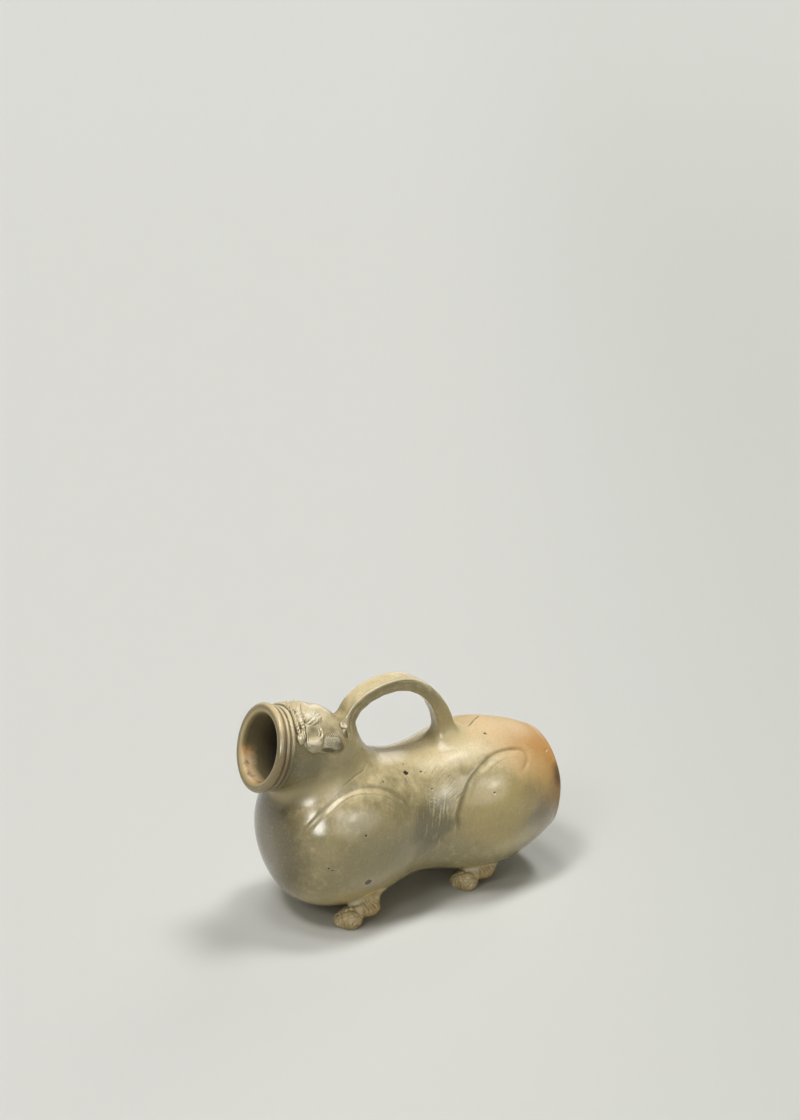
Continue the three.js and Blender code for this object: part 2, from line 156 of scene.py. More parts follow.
class Chart:
    """A table over a plane that is read between its entries."""

    def __init__(self, low, high, step):
        self.low, self.step = np.asarray(low, float), step
        sides = [np.arange(a, b + step, step) for a, b in zip(low, high)]
        self.u, self.v = np.meshgrid(*sides, indexing="ij")

    def fill(self, values):
        self.values = values
        return self

    def __call__(self, u, v):
        rows, columns = self.values.shape
        i = np.clip((u - self.low[0]) / self.step, 0, rows - 1.001)
        j = np.clip((v - self.low[1]) / self.step, 0, columns - 1.001)
        a, b = i.astype(np.int32), j.astype(np.int32)
        i, j = i - a, j - b
        flat = self.values.ravel()
        corner = a * columns + b
        near = flat[corner] * (1 - j) + flat[corner + 1] * j
        far = flat[corner + columns] * (1 - j) + flat[corner + columns + 1] * j
        return near * (1 - i) + far * i


def thrown(profile, margin, step):
    """The field of a profile of places along an axis and radii, as a table."""
    low = [profile[0, 0] - margin, 0.0]
    high = [profile[-1, 0] + margin, profile[:, 1].max() + margin]
    chart = Chart(low, high, step)
    gap, _ = line_distance(chart.u, chart.v, profile)
    wall = np.interp(chart.u, profile[:, 0], profile[:, 1], left=-1, right=-1)
    return chart.fill(np.where(chart.v < wall, -gap, gap))


def evenly(line, spacing, blur):
    """A line with points at an even spacing, its corners softened, its two ends kept."""
    lengths = np.hypot(*np.diff(line, axis=0).T)
    walked = np.concatenate([[0], np.cumsum(lengths)])
    places = np.linspace(0, walked[-1], max(8, int(round(walked[-1] / spacing))))
    even = np.stack([np.interp(places, walked, line[:, k]) for k in range(2)], 1)
    reach = int(math.ceil(3 * blur / spacing))
    if reach == 0:
        return even
    weights = np.exp(-0.5 * (np.arange(-reach, reach + 1) * spacing / blur) ** 2)
    padded = np.concatenate([2 * even[0] - even[reach:0:-1], even, 2 * even[-1] - even[-2 : -reach - 2 : -1]])
    return np.stack([np.convolve(padded[:, k], weights / weights.sum(), "valid") for k in range(2)], 1)


print("a line of 10 mm, evenly:", len(evenly(np.array([[0.0, 0.0], [10.0, 0.0]]), 1.0, 0.0)), "points")

# %% [markdown]
# ## The belly's profile
# The chest is a blunt dome, the waist a long soft curve, and the haunch falls away to the flat disc
# that was the foot of the second bowl. The same lengths drive the frame, so the skin here lies on the
# frame's skin, with its corners softened as wet hands leave them.

# %% Belly profile
POLE_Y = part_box("fore_body")[0].y / MM
WAIST_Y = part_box("fore_body")[1].y / MM
TAIL_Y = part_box("hind_body")[1].y / MM
AXIS_Z = (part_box("hind_body")[0].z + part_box("hind_body")[1].z) / 2 / MM
CHEST_RADIUS, WAIST_RADIUS, HAUNCH_RADIUS, TAIL_RADIUS = 58.0, 47.5, 57.3, 41.0
CHEST_Y, HAUNCH_Y = POLE_Y + 62.5, WAIST_Y + 58.5
TAIL_ROUND, WALL = 4.0, 6.0


def swell(from_y, to_y, from_radius, to_radius):
    share = np.linspace(0, 1, 60)
    blend = 0.5 - 0.5 * np.cos(np.pi * share)
    return np.stack([from_y + (to_y - from_y) * share, from_radius + (to_radius - from_radius) * blend], 1)


def belly_profile():
    turn = np.linspace(0, np.pi / 2, 120)
    blunt = 2 / 2.7
    dome_y = CHEST_Y - (CHEST_Y - POLE_Y) * np.cos(turn).clip(0) ** blunt
    dome = np.stack([dome_y, CHEST_RADIUS * np.sin(turn) ** blunt], 1)
    share = np.linspace(0, 1, 60)
    rim_y = TAIL_Y - TAIL_ROUND
    fall = HAUNCH_RADIUS - (HAUNCH_RADIUS - TAIL_RADIUS) * share**1.7
    tail = np.stack([HAUNCH_Y + (rim_y - HAUNCH_Y) * share, fall], 1)
    turn = np.linspace(0, np.pi / 2, 9)
    rim = np.stack([rim_y + TAIL_ROUND * np.sin(turn), TAIL_RADIUS - TAIL_ROUND * (1 - np.cos(turn))], 1)
    waist = swell(CHEST_Y, WAIST_Y, CHEST_RADIUS, WAIST_RADIUS)
    haunch = swell(WAIST_Y, HAUNCH_Y, WAIST_RADIUS, HAUNCH_RADIUS)
    disc = np.array([[TAIL_Y, 0.0]])
    return np.concatenate([dome, waist[1:], haunch[1:], tail[1:], rim[1:], disc])


BELLY_PROFILE = evenly(belly_profile(), 0.5, 1.0)
BELLY_PROFILE[:, 0] = np.maximum.accumulate(BELLY_PROFILE[:, 0])
belly_form = thrown(BELLY_PROFILE, 30.0, 0.4)
print("belly profile:", len(BELLY_PROFILE), "points,", belly_form.values.shape, "table")

# %% [markdown]
# ## Shoulders and thighs
# Each shoulder and each thigh is a plump round that the maker set off with a carved line: a crisp step
# down on the outside, a ramp up from it, and a fine line where the ramp ends. On the thigh the line
# curls in at its end. They could be painted as bump, but then the outline and the shadows would miss
# them. So they are a relief: a height on a flat chart of the flank, unrolled by the place along the
# jug and the angle from its top.

# %% Curves on the unrolled flank
FLANK_RADIUS, FLANK_ROOM, FLANK_STEP = 57.0, 6, 0.3
CURVE_STEPS = 7


def unrolled(points):
    """Places along the jug and angles from its top, as millimetres on the flat."""
    places = np.array(points, float)
    return np.stack([places[:, 0], np.radians(places[:, 1]) * FLANK_RADIUS], 1)


def drawn(points, closed=False):
    """A smooth line through points."""
    points = np.asarray(points, float)
    if closed:
        ends = np.concatenate([points[-1:], points, points[:2]])
    else:
        ends = np.concatenate([2 * points[:1] - points[1:2], points, 2 * points[-1:] - points[-2:-1]])
    share = np.arange(CURVE_STEPS)[:, None] / CURVE_STEPS
    line = []
    for a, b, c, d in zip(ends[:-3], ends[1:-2], ends[2:-1], ends[3:]):
        bend = 2 * a - 5 * b + 4 * c - d
        twist = -a + 3 * b - 3 * c + d
        line.append(b + 0.5 * share * (c - a + share * (bend + share * twist)))
    last = points[:1] if closed else points[-1:]
    return np.concatenate(line + [last])


def within(u, v, loop):
    """Which places lie inside a closed line."""
    inside = np.zeros(np.shape(u), bool)
    for (u0, v0), (u1, v1) in zip(loop[:-1], loop[1:]):
        if v0 == v1:
            continue
        crosses = (v0 > v) != (v1 > v)
        inside ^= crosses & (u < u0 + (v - v0) * (u1 - u0) / (v1 - v0))
    return inside


def edge_of(u, v, loop):
    """Distance from a closed line, above nought inside it."""
    gap, _ = line_distance(u, v, loop)
    return np.where(within(u, v, loop), gap, -gap)


SHOULDER = [
    (-97, 68), (-93, 58.5), (-83.3, 49.4), (-74, 43.6), (-63, 38.8), (-51, 37.6), (-40, 39.7), (-30.7, 43),
    (-22, 48.7), (-14.9, 56.1), (-10.5, 66), (-9, 82), (-13, 100), (-25, 117), (-43, 128), (-65, 128),
    (-83, 116), (-94, 98), (-98.5, 82),
]
THIGH = [
    (26, 79.6), (27.6, 73), (32.3, 62.7), (39, 52.1), (46.8, 45.7), (54.5, 41), (62.1, 37.7), (70.2, 36.2),
    (79.3, 36), (87.5, 37.5), (95, 43), (100, 53), (102, 69), (99, 90), (91, 107), (76, 118), (56, 120),
    (38, 112), (28, 96),
]
CURL = [(80, 36), (87, 37), (91, 40.5), (90.5, 46), (86.5, 51), (81, 55), (75, 56.5)]

half_round = math.pi * FLANK_RADIUS
flank = Chart([POLE_Y - FLANK_ROOM, 0.0], [TAIL_Y + FLANK_ROOM, half_round], FLANK_STEP)
flank_degrees = np.degrees(flank.v / FLANK_RADIUS)
shoulder_edge = edge_of(flank.u, flank.v, drawn(unrolled(SHOULDER), closed=True))
thigh_edge = edge_of(flank.u, flank.v, drawn(unrolled(THIGH), closed=True))
print("shoulder", round(2 * shoulder_edge.max()), "mm across, thigh", round(2 * thigh_edge.max()), "mm")

# %% Relief of both flanks
def carved_round(edge, crisp, depth, width, plump, soft):
    """A plump round whose edge is carved where crisp is 1, falling to it over a soft width."""
    fall = soft_step(-soft, 1.0, edge)
    ramp = 1 - soft_step(1.2, width, edge)
    fine = hump(edge - width, 0.6)
    return plump * soft_step(0, 22, edge) - crisp * (depth * fall * ramp + 0.11 * fine)


def groove(points, depth, width):
    """A soft groove along a line, shallower towards its end."""
    line = drawn(unrolled(points))
    gap, place = line_distance(flank.u, flank.v, line)
    length = np.hypot(*np.diff(line, axis=0).T).sum()
    return -depth * hump(gap, width) * soft_step(length, 0.55 * length, place)


shoulder_crisp = soft_step(76, 56, flank_degrees)
thigh_crisp = soft_step(104, 82, flank_degrees) * soft_step(96, 76, flank.u)
relief = carved_round(shoulder_edge, shoulder_crisp, 0.65, 6.4, 1.1, 2.2)
relief += carved_round(thigh_edge, thigh_crisp, 0.72, 7.4, 1.0, 3.0)
relief += groove(CURL, 0.6, 1.9)
# Where the carved lines run the glaze is darkened: glaze pooled in the groove, and painted shade under its
# crisp step.
lines = 0.8 * shoulder_crisp * hump(shoulder_edge - 0.5, 1.8)
thigh_width = 1.5 + 2.2 * soft_step(42, 72, flank_degrees)
lines = np.maximum(lines, thigh_crisp * hump(thigh_edge + 0.4, thigh_width))
lines = np.maximum(lines, -1.1 * groove(CURL, 0.6, 1.6))


def both_flanks(values):
    """A chart of both flanks from values on one."""
    chart = Chart([flank.low[0], -half_round], [TAIL_Y + FLANK_ROOM, half_round], FLANK_STEP)
    values = np.concatenate([values[:, :0:-1], values], 1)
    chart.u, chart.v = chart.u[:, : values.shape[1]], chart.v[:, : values.shape[1]]
    return chart.fill(values)


groove_pool_and_shade, flank = both_flanks(lines), both_flanks(relief)
print("relief from", round(relief.min(), 2), "to", round(relief.max(), 2), "mm")

# %% [markdown]
# ## Marks of the kiln
# Small things happened to this jug that happened to no other: pits where grit burned out, a nick, a
# fine drawn line at the neck, and a flake that broke off behind the handle. Each is a small dent or a
# groove in the same relief. They differ on the two flanks, as they would.

# %% Pits, lines and a flake
PITS = [
    (-5.1, 32, 1.6, 0.5), (-51.9, 111, 2.6, 0.3), (-54.1, 72.6, 0.9, 0.3), (-81.6, 94, 0.9, 0.25),
    (54, 66, 0.8, 0.25), (65.9, 17.7, 0.8, 0.35), (-28.6, 38, 0.8, 0.3), (7.6, 32.8, 0.8, 0.3),
    (-36, -84, 1.4, 0.35), (12, -58, 0.9, 0.3), (71, -97, 1.8, 0.3), (-77, -58, 0.8, 0.25),
    (44, -33, 0.8, 0.3),
]
DRAWN_LINES = [
    ([(-58.9, 34.6), (-53.6, 32.4), (-48.1, 30), (-41.6, 27.7), (-38.1, 24.3), (-31, 18.5)], 0.3, 0.7),
    ([(-90.5, 110.8), (-91.3, 119.8), (-92.6, 128.3), (-94.1, 141.5)], 0.35, 0.8),
    ([(112.2, 40), (113.6, 38), (116.2, 38.6)], 0.6, 0.8),
    ([(46.1, 111.1), (56, 111.4), (66.5, 113)], 0.3, 1.0),
    ([(20, -39), (27, -34), (33, -31.5)], 0.3, 0.7),
]
FLAKE = [
    (1, 53), (4, 56), (3.4, 60.5), (-1, 66), (-6, 72), (-10, 76), (-15, 72), (-19, 62), (-13, 54), (-5, 51.5),
]


def crisp_side(round_it):
    """The flake's edge is crisp on the left of the back and soft on the right."""
    return soft_step(-14, -4, round_it)


for y, degrees, radius, depth in PITS:
    gap = np.hypot(flank.u - y, flank.v - math.radians(degrees) * FLANK_RADIUS)
    flank.values -= depth * hump(gap, radius)
for points, depth, width in DRAWN_LINES:
    flank.values += groove(points, depth, width)
flake_loop = drawn([(y, x) for x, y in FLAKE], closed=True)
flake_edge = edge_of(flank.u, flank.v, flake_loop)
crisp = crisp_side(flank.v)
flank.values -= (0.35 + 1.2 * crisp) * soft_step(-0.4, 0.5 + 3.0 * (1 - crisp), flake_edge)
flake = Chart(flank.low, flank.low, FLANK_STEP).fill(flake_edge)
print(len(PITS), "pits,", len(DRAWN_LINES), "lines and a flake of", round(2 * flake_edge.max()), "mm")

# %% [markdown]
# ## The belly's field
# Thrown clay is never quite round. A slow wobble of a third of a millimetre keeps the highlights from
# looking machined. The tail disc was the foot of a bowl, so it is a little hollow and keeps the rings
# of the turning tool and the arcs of the string that cut it from the wheel.

# %% Belly field
def wobble(y, turn):
    return 0.22 * np.sin(0.043 * y + 1.3 + 2 * turn) + 0.14 * np.cos(3 * turn - 0.061 * y)


def rump(y, turn):
    """The back of the haunch is a little fuller than a turned bowl."""
    return 1.2 * soft_step(88, 108, y) * soft_step(-0.2, 0.4, np.cos(turn))


def tail_marks(x, z, radius):
    rings = 0.1 * np.cos(2 * np.pi * radius / 4.6) * soft_step(8, 20, radius)
    string = 0.1 * np.cos(2 * np.pi * np.hypot(x + 70, z - AXIS_Z - 30) / 5.2) * soft_step(30, 20, radius)
    return (rings + string - 0.5) * soft_step(36.5, 32, radius)


def belly(x, y, z):
    turn = np.arctan2(x, z - AXIS_Z)
    radius = np.hypot(x, z - AXIS_Z)
    height = soft_step(8, 25, radius) * (flank(y, turn * FLANK_RADIUS) + wobble(y, turn) + rump(y, turn))
    height = height + tail_marks(x, z, radius) * soft_step(TAIL_Y - 5, TAIL_Y - 2, y)
    return belly_form(y, radius) - height


print("belly at the side of the chest:", round(float(belly(58.0, np.array([CHEST_Y]), AXIS_Z)[0]), 2), "mm")

# %% [markdown]
# ## The neck
# The neck is a thrown tube with a rolled lip and two turned rings. Behind them it is the tiger's head,
# closed at the back like the end of an egg. It points forwards and a little up, so its field is read
# in its own frame: along the neck from the mouth, and round it from the top. Where it meets the
# shoulders the clay was pushed into a broad saddle. Inside, the throwing rings are faint and uneven.

# %% Neck field
MOUTH = np.array([0.0, -111.04, 140.6])
TILT = math.radians(17.1)
BORE_RADIUS, NECK_RADIUS, NECK_LENGTH, NECK_END = 24.0, 29.3, 40.0, 85.0
LIP_WIDTH, RING_PITCH = 6.0, 4.4
RINGS_END = LIP_WIDTH + 2 * RING_PITCH
SADDLE = 16.0


def in_neck(x, y, z):
    along, out = y - MOUTH[1], z - MOUTH[2]
    return x, along * math.cos(TILT) - out * math.sin(TILT), along * math.sin(TILT) + out * math.cos(TILT)


def band(start, width, proud, square):
    share = np.linspace(0, 1, 24)
    return np.stack([start + width * share, NECK_RADIUS + proud * np.sin(np.pi * share).clip(0) ** square], 1)


def egg_end(radius, start, end):
    turn = np.linspace(0, np.pi / 2, 40)
    return np.stack([start + (end - start) * np.sin(turn), radius * np.cos(turn)], 1)


neck_profile = np.concatenate(
    [
        [[0.0, 0.0], [0.0, NECK_RADIUS]],
        band(0.01, LIP_WIDTH, 3.0, 0.45)[1:],
        band(LIP_WIDTH, RING_PITCH, 2.1, 0.8)[1:],
        band(LIP_WIDTH + RING_PITCH, RING_PITCH, 1.5, 0.8)[1:],
        egg_end(NECK_RADIUS, NECK_LENGTH, NECK_END),
    ]
)
neck_form = thrown(evenly(neck_profile, 0.25, 0.25), 24.0, 0.3)

throwing = np.linspace(3.5, NECK_LENGTH, 200)
ripple = np.sin(throwing * 1.37) + 0.7 * np.sin(throwing * 2.11 + 1.0)
bore_rings = np.stack([throwing, BORE_RADIUS + 0.03 * ripple], 1)
bore_profile = np.concatenate(
    [
        [[-12.0, 0.0], [-12.0, 30.0], [-2.0, 29.0], [0.0, 27.4], [2.2, 24.6]],
        bore_rings,
        egg_end(BORE_RADIUS, NECK_LENGTH, NECK_END - 5.3)[1:],
    ]
)
bore_form = thrown(evenly(bore_profile, 0.25, 0.3), 24.0, 0.3)


def neck(x, y, z):
    side, along, up = in_neck(x, y, z)
    return neck_form(along, np.hypot(side, up))


def bore(x, y, z):
    side, along, up = in_neck(x, y, z)
    return bore_form(along, np.hypot(side, up))


print("neck rings end", RINGS_END, "mm behind the mouth")

# %% [markdown]
# ## The face
# The face was pressed and carved into a pad of clay over the head. Like the flank it is a relief, now
# on the unrolled head: the place along the neck and the distance round it from the top. The snout and
# a lumpy lip sit at the rings. The eye is a dished oval with smooth glaze gathered in it, under a
# lumpy brow, and a rolled lid curls round it from behind. The ear is a combed leaf laid back, and two
# pellets like rivets sit by the foot of the handle. Heights are worked out once, on charts.

# %% Ways to model clay on the unrolled head
HEAD_RADIUS = 31.0
FACE_LOW, FACE_HIGH = [6.0, 0.0], [72.0, 66.0]


def on_head(x, y, z):
    """Along the neck, round it from its top in millimetres, and out from its skin."""
    side, along, up = in_neck(x, y, z)
    round_it = np.arctan2(np.abs(side), up) * HEAD_RADIUS
    return along, round_it, neck_form(along, np.hypot(side, up))


def mound(u, v, centre, size, turn=0.0):
    """How far out from the middle of an oval: 0 there, 1 on its edge."""
    c, s = math.cos(math.radians(turn)), math.sin(math.radians(turn))
    a, b = u - centre[0], v - centre[1]
    return np.hypot((a * c + b * s) / size[0], (b * c - a * s) / size[1])


def dome(share, power=0.5):
    """A rounded height over an oval, falling steeply below the skin outside it."""
    return np.where(share < 1, np.clip(1 - share * share, 0, 1) ** power, 2 * (1 - share))


def strand(u, v, points, heights, widths, power=0.55):
    """A rolled string of clay along a line, with its height and half width at each point."""
    line = drawn(points)
    gap, place = line_distance(u, v, line)
    lengths = np.hypot(*np.diff(line, axis=0).T)
    walked = np.concatenate([[0], np.cumsum(lengths)])[::CURVE_STEPS]
    tall, wide = np.interp(place, walked, heights), np.interp(place, walked, widths)
    return tall * dome(gap / wide, power)


print("an oval's edge is at", mound(3.0, 0.0, (0, 0), (3, 2)))

# %% Heights of the face
def crown_height(u, v):
    share = mound(u, v, (38.0, 0.0), (24.5, 33.0))
    lumps = 0.25 * np.sin(0.5 * u + 1.1) * np.cos(0.45 * v)
    ridge = 3.0 * hump(v, 9) * soft_step(12, 22, u) * soft_step(57, 40, u)
    tall = 4.6 * (1 - 0.014 * (u - 20)) + lumps + ridge
    return tall * soft_step(1.02, 0.45, share) - 4.0 * soft_step(0.98, 1.3, share)


def nose_height(u, v):
    pad = 6.9 * dome(mound(u, v, (22.4, 0.0), (8.4, 8.6)), 0.5)
    lumps = 0.25 * np.cos(1.25 * (u - 19.5)) * np.cos(0.62 * v) + 0.15 * np.sin(2.1 * u + 1.3 * v)
    crease = 0.3 * hump(u - 24.2 - 0.02 * v * v, 0.9)
    nostril = 1.6 * hump(mound(u, v, (16.4, 2.9), (1.3, 1.2)), 1)
    return pad + lumps * soft_step(1.0, 4.0, pad) - crease - nostril


def uneven(u, v):
    """Small lumps that nobody smoothed."""
    return np.sin(1.9 * u + 0.7 * v) * np.sin(1.6 * v - 0.5 * u + 1.0) + 0.5 * np.sin(3.1 * v + 1.2 * u)


def lip_height(u, v):
    ridge = [(23.2, 3.4), (21.0, 6.5), (19.9, 10.5), (19.5, 14.5), (19.7, 18.5), (20.6, 21.8)]
    height = strand(u, v, ridge, (5.4, 5.2, 5.0, 4.6, 4.0, 2.8), (2.4, 3.2, 3.4, 3.3, 2.9, 2.0))
    height = height + 0.3 * uneven(u, v)
    beads = [(16.6, 5.0), (16.1, 10.0), (15.9, 15.5), (16.0, 20.5), (16.7, 25.0)]
    beads = strand(u, v, beads, (3.6, 3.6, 3.4, 3.2, 2.6), (1.8, 2.0, 2.0, 2.0, 1.7))
    beads = beads + 0.28 * uneven(1.3 * v, u)
    cheek = 2.7 * dome(mound(u, v, (18.9, 27.6), (3.6, 6.4), 12), 0.45)
    edge = np.array([(16.0, 21.5), (15.8, 26.5), (17.4, 31.2), (21.0, 34.2)])
    gap, _ = line_distance(u, v, drawn(edge))
    cheek = cheek - 0.3 * np.cos(2 * np.pi * gap / 2.1)
    return np.maximum(cut(height, beads, 1.6), cheek)


def brow_height(u, v):
    share = mound(u, v, (29.6, 12.2), (9.3, 7.4), 8)
    away, around = np.hypot(u - 32.5, v - 11.5), np.arctan2(v - 11.5, u - 32.5)
    dish = 1.0 * hump(away, 2.1) - 0.6 * hump(away - 3.6, 0.9)
    comb = 0.1 * np.cos(13.0 * around) * soft_step(3.4, 4.4, away) * soft_step(1.05, 0.85, share)
    bar = 0.9 * hump(mound(u, v, (28.4, 12.6), (1.9, 0.8), 50), 1)
    lump = 0.8 * hump(mound(u, v, (31.4, 16.0), (1.5, 1.2)), 1)
    return 6.0 * dome(share, 0.42) - dish - comb + bar + lump + 0.4 * uneven(1.05 * u + 0.5, 0.8 * v)


LID = [
    (28.6, 18.4), (31.6, 18.2), (33.9, 19.6), (35.2, 22.0), (35.5, 24.6), (34.8, 27.2), (33.1, 29.5),
    (30.4, 31.4), (27.4, 32.8), (24.4, 34.0),
]
LID_HEIGHTS = (2.6, 3.4, 3.6, 3.5, 3.3, 3.3, 3.4, 3.4, 3.2, 2.2)
LID_WIDTHS = (0.9, 1.1, 1.3, 1.5, 1.7, 2.1, 2.7, 3.1, 3.0, 1.9)


def lid_height(u, v):
    height = strand(u, v, LID, LID_HEIGHTS, LID_WIDTHS, 0.6)
    inner = [(31.6, 20.6), (32.8, 22.6), (33.0, 25.0), (32.4, 27.0)]
    height = np.maximum(height, strand(u, v, inner, (2.6, 2.7, 2.6, 1.9), (0.6, 0.7, 0.7, 0.5)))
    front = [(23.2, 20.4), (22.8, 24.0), (22.9, 28.5), (23.3, 33.0)]
    return np.maximum(height, strand(u, v, front, (2.9, 2.6, 2.5, 2.4), (0.9, 1.0, 1.1, 1.2)))


EYE_SLOPE = [18, 20, 24, 26.4, 27.2, 28.2, 30.5, 33, 36]
EYE_FLOOR = [2.9, 2.5, 1.6, 0.95, 0.9, 1.4, 2.6, 3.2, 3.0]


def eye_height(u, v):
    share = mound(u, v, (28.6, 26.4), (6.2, 8.2), -12)
    dish = np.interp(v + 0.32 * (u - 28.0), EYE_SLOPE, EYE_FLOOR)
    return np.where(share < 1, dish, dish * (3 - 2 * share))


EAR = [
    (34.9, 27.5), (36.0, 24.9), (39.3, 22.4), (45.3, 20.8), (49.6, 21.3), (52.6, 23.6), (55.3, 26.8),
    (55.6, 30.0), (54.6, 33.2), (52.6, 34.9), (50.2, 36.2), (47.4, 36.2), (44.4, 37.3), (41.2, 35.9),
    (38.4, 36.0), (35.6, 33.4), (34.4, 30.6),
]


def ear_height(u, v):
    edge = edge_of(u, v, drawn(EAR, closed=True))
    leaf = np.where(edge > 0, 3.2 * np.clip(edge / 6.5, 0, 1) ** 0.6, 2.5 * edge)
    strokes = np.cos(2 * np.pi * (u - 1.1 * np.abs(v - 26.0)) / 1.45)
    combing = 0.28 * strokes * soft_step(0.6, 1.6, edge) * soft_step(54.0, 48.0, u)
    hollow = 0.9 * hump(mound(u, v, (50.0, 31.5), (5.0, 2.8), -20), 1)
    crease = 0.8 * hump(mound(u, v, (43.0, 22.4), (2.6, 0.8), -18), 1)
    return leaf - combing - hollow - crease


def pellet_height(u, v):
    share = mound(u, v, (56.9, 14.6), (3.7, 3.7))
    ring = 4.2 * dome(share, 0.4) - 2.1 * soft_step(0.70, 0.3, share)
    drop = strand(u, v, [(57.0, 19.4), (57.2, 21.8), (57.4, 25.6)], (2.8, 2.6, 1.4), (2.7, 2.4, 1.2))
    return np.maximum(ring, drop)


HEIGHTS = {}
for layer, height in (
    ("crown_pad", crown_height), ("nose", nose_height), ("lip", lip_height), ("brow", brow_height),
    ("eyelid", lid_height), ("eyeball", eye_height), ("ear", ear_height), ("rivet_pellet", pellet_height),
):
    chart = Chart(FACE_LOW, FACE_HIGH, 0.15)
    HEIGHTS[layer] = chart.fill(height(chart.u, chart.v))
    print(layer, "rises to", round(HEIGHTS[layer].values.max(), 1), "mm")

# %% [markdown]
# ## The handle
# The handle is one strap of clay with a flat top and a round underside, bent over the waist and pressed
# down at both ends. Its upper edge is crisp in front and thumbed round behind, its side faces were
# beaten with something woven, and folds run up from its front foot. Its field comes from a table too:
# how far each place is from the strap's middle line, and how far along that line.

# %% Handle field
HANDLE_APEX = np.array([-3.34, 167.0])
HEAD_SEAT, BACK_SEAT = np.array([-40.11, 143.3]), np.array([40.16, 117.88])
STRAP_HALF_WIDTH, STRAP_HALF_THICKNESS, FOOT_SPREAD = 8.0, 5.0, 1.6
ROOT = 14.0
STRAP_LOW, STRAP_HIGH = [-62.0, 92.0], [64.0, 184.0]


def handle_line():
    turn = np.linspace(np.pi / 2, 0, 80)
    halves = []
    for seat in (HEAD_SEAT, BACK_SEAT):
        reach = seat - HANDLE_APEX
        arch = HANDLE_APEX + np.stack([reach[0] * np.sin(turn), reach[1] * (1 - np.cos(turn))], 1)
        halves.append(np.concatenate([[seat - (0, ROOT)], arch]))
    return np.concatenate([halves[0], halves[1][::-1][1:]])


HANDLE_LINE = handle_line()
strap_along, strap_out = Chart(STRAP_LOW, STRAP_HIGH, 0.4), Chart(STRAP_LOW, STRAP_HIGH, 0.4)
gap, place = line_distance(strap_out.u, strap_out.v, HANDLE_LINE)
feet = [[BACK_SEAT[0], 60.0], [HEAD_SEAT[0], 60.0], HANDLE_LINE[0]]
strap_out.fill(np.where(within(strap_out.u, strap_out.v, np.concatenate([HANDLE_LINE, feet])), -gap, gap))
strap_along.fill(place)
STRAP_LENGTH = np.hypot(*np.diff(HANDLE_LINE, axis=0).T).sum()


def handle(x, y, z):
    out, along = strap_out(y, z), strap_along(y, z)
    side = np.abs(x)
    front = soft_step(92, 64, along)
    bend = np.where(out > 0, 3.0 - 1.8 * front, 4.2)
    spread = FOOT_SPREAD * soft_step(STRAP_LENGTH - 52, STRAP_LENGTH - 16, along)
    a = side - (STRAP_HALF_WIDTH - bend)
    b = np.abs(out) - (STRAP_HALF_THICKNESS + spread - bend)
    strap = np.hypot(np.maximum(a, 0), np.maximum(b, 0)) + np.minimum(np.maximum(a, b), 0) - bend
    lip = 0.4 * front * hump(side - 6.7, 0.9) * soft_step(2.5, 4.5, out)
    on_side = soft_step(6.6, 7.4, side)
    beaten = on_side * soft_step(-2.6, -1.2, out) * soft_step(4.6, 3.6, out)
    beaten = beaten * soft_step(30, 42, along) * soft_step(STRAP_LENGTH - 40, STRAP_LENGTH - 58, along)
    weave = np.cos(2 * np.pi * (along + 1.2 * out) / 1.9) * np.cos(2 * np.pi * (along - 1.2 * out) / 1.9)
    folds = hump(out + 1.3, 0.7) + hump(out - 1.9, 0.6)
    folds = 0.55 * folds * on_side * soft_step(40, 28, along)
    crack = 0.5 * hump(out - 4.0, 0.4) * on_side
    crack = crack * soft_step(65, 67, along) * soft_step(76, 73, along)
    pressed = 0.22 * np.sin(0.31 * along + 0.5 * side) * np.sin(0.23 * along + 0.9 * out + 1.0)
    pressed = pressed * soft_step(STRAP_LENGTH - 22, STRAP_LENGTH - 50, along)
    return strap - lip + 0.22 * beaten * weave + folds + crack + pressed


print("strap:", round(STRAP_LENGTH, 1), "mm along its middle line")

# %% [markdown]
# ## The legs
# Each leg is short: a round paw in front with curved toe lines cut into it, a pleated wrist, and a heel
# that stays off the ground and spreads up into the belly. They are ovals and rolled pieces that flow
# together. The toe lines are cut by round cutters that look at the paw from its outer front corner,
# where a maker would hold it.

# %% Leg field
FOREPAW = (36.0, -56.34)
HINDPAW = (26.3, 46.3)
PAW_SIZE = 9.2
PAW_RIGHT, PAW_UP, PAW_TOWARDS = (0.481, 0.877), (-0.316, 0.173, 0.933), (0.818, -0.449, 0.360)
TOE_CUTS = [
    ((0.05, -0.35), 1.0), ((0.42, -0.62), 0.86), ((0.62, -0.85), 0.62), ((-0.85, -0.35), 0.62),
    ((-1.2, 0.3), 0.62),
]


def paw_ball(x, y, z):
    y, z = y + 0.3, z - 6.7
    ball = egg(x, y, z, (9.0, 9.2, 8.6))
    toe = egg(x + 3.5, y + 6.2, z + 1.2, (5.4, 5.6, 5.2))
    ball = flow(ball, toe, 2.5) + 0.2 * np.sin(1.5 * x + 0.6 * z) * np.sin(1.3 * z + 0.8 * y)
    ball = ball + 0.1 * np.sin(3.7 * x + 2.1 * z + 0.8) * np.sin(3.3 * y - 2.4 * z)
    right = (PAW_RIGHT[0] * x + PAW_RIGHT[1] * y) / PAW_SIZE
    up = (PAW_UP[0] * x + PAW_UP[1] * y + PAW_UP[2] * z) / PAW_SIZE
    towards = PAW_TOWARDS[0] * x + PAW_TOWARDS[1] * y + PAW_TOWARDS[2] * z
    scored = np.zeros(np.shape(ball))
    for (a, b), radius in TOE_CUTS:
        away = PAW_SIZE * (np.hypot(right - a, up - b) - radius)
        away = away + 0.35 * np.sin(0.9 * y + 0.7 * z) + 0.12 * np.sin(2.3 * y - 1.9 * z)
        scored = np.maximum(scored, 0.42 * hump(away, 0.65))
    return ball + scored * soft_step(-3.5, 1.0, towards)


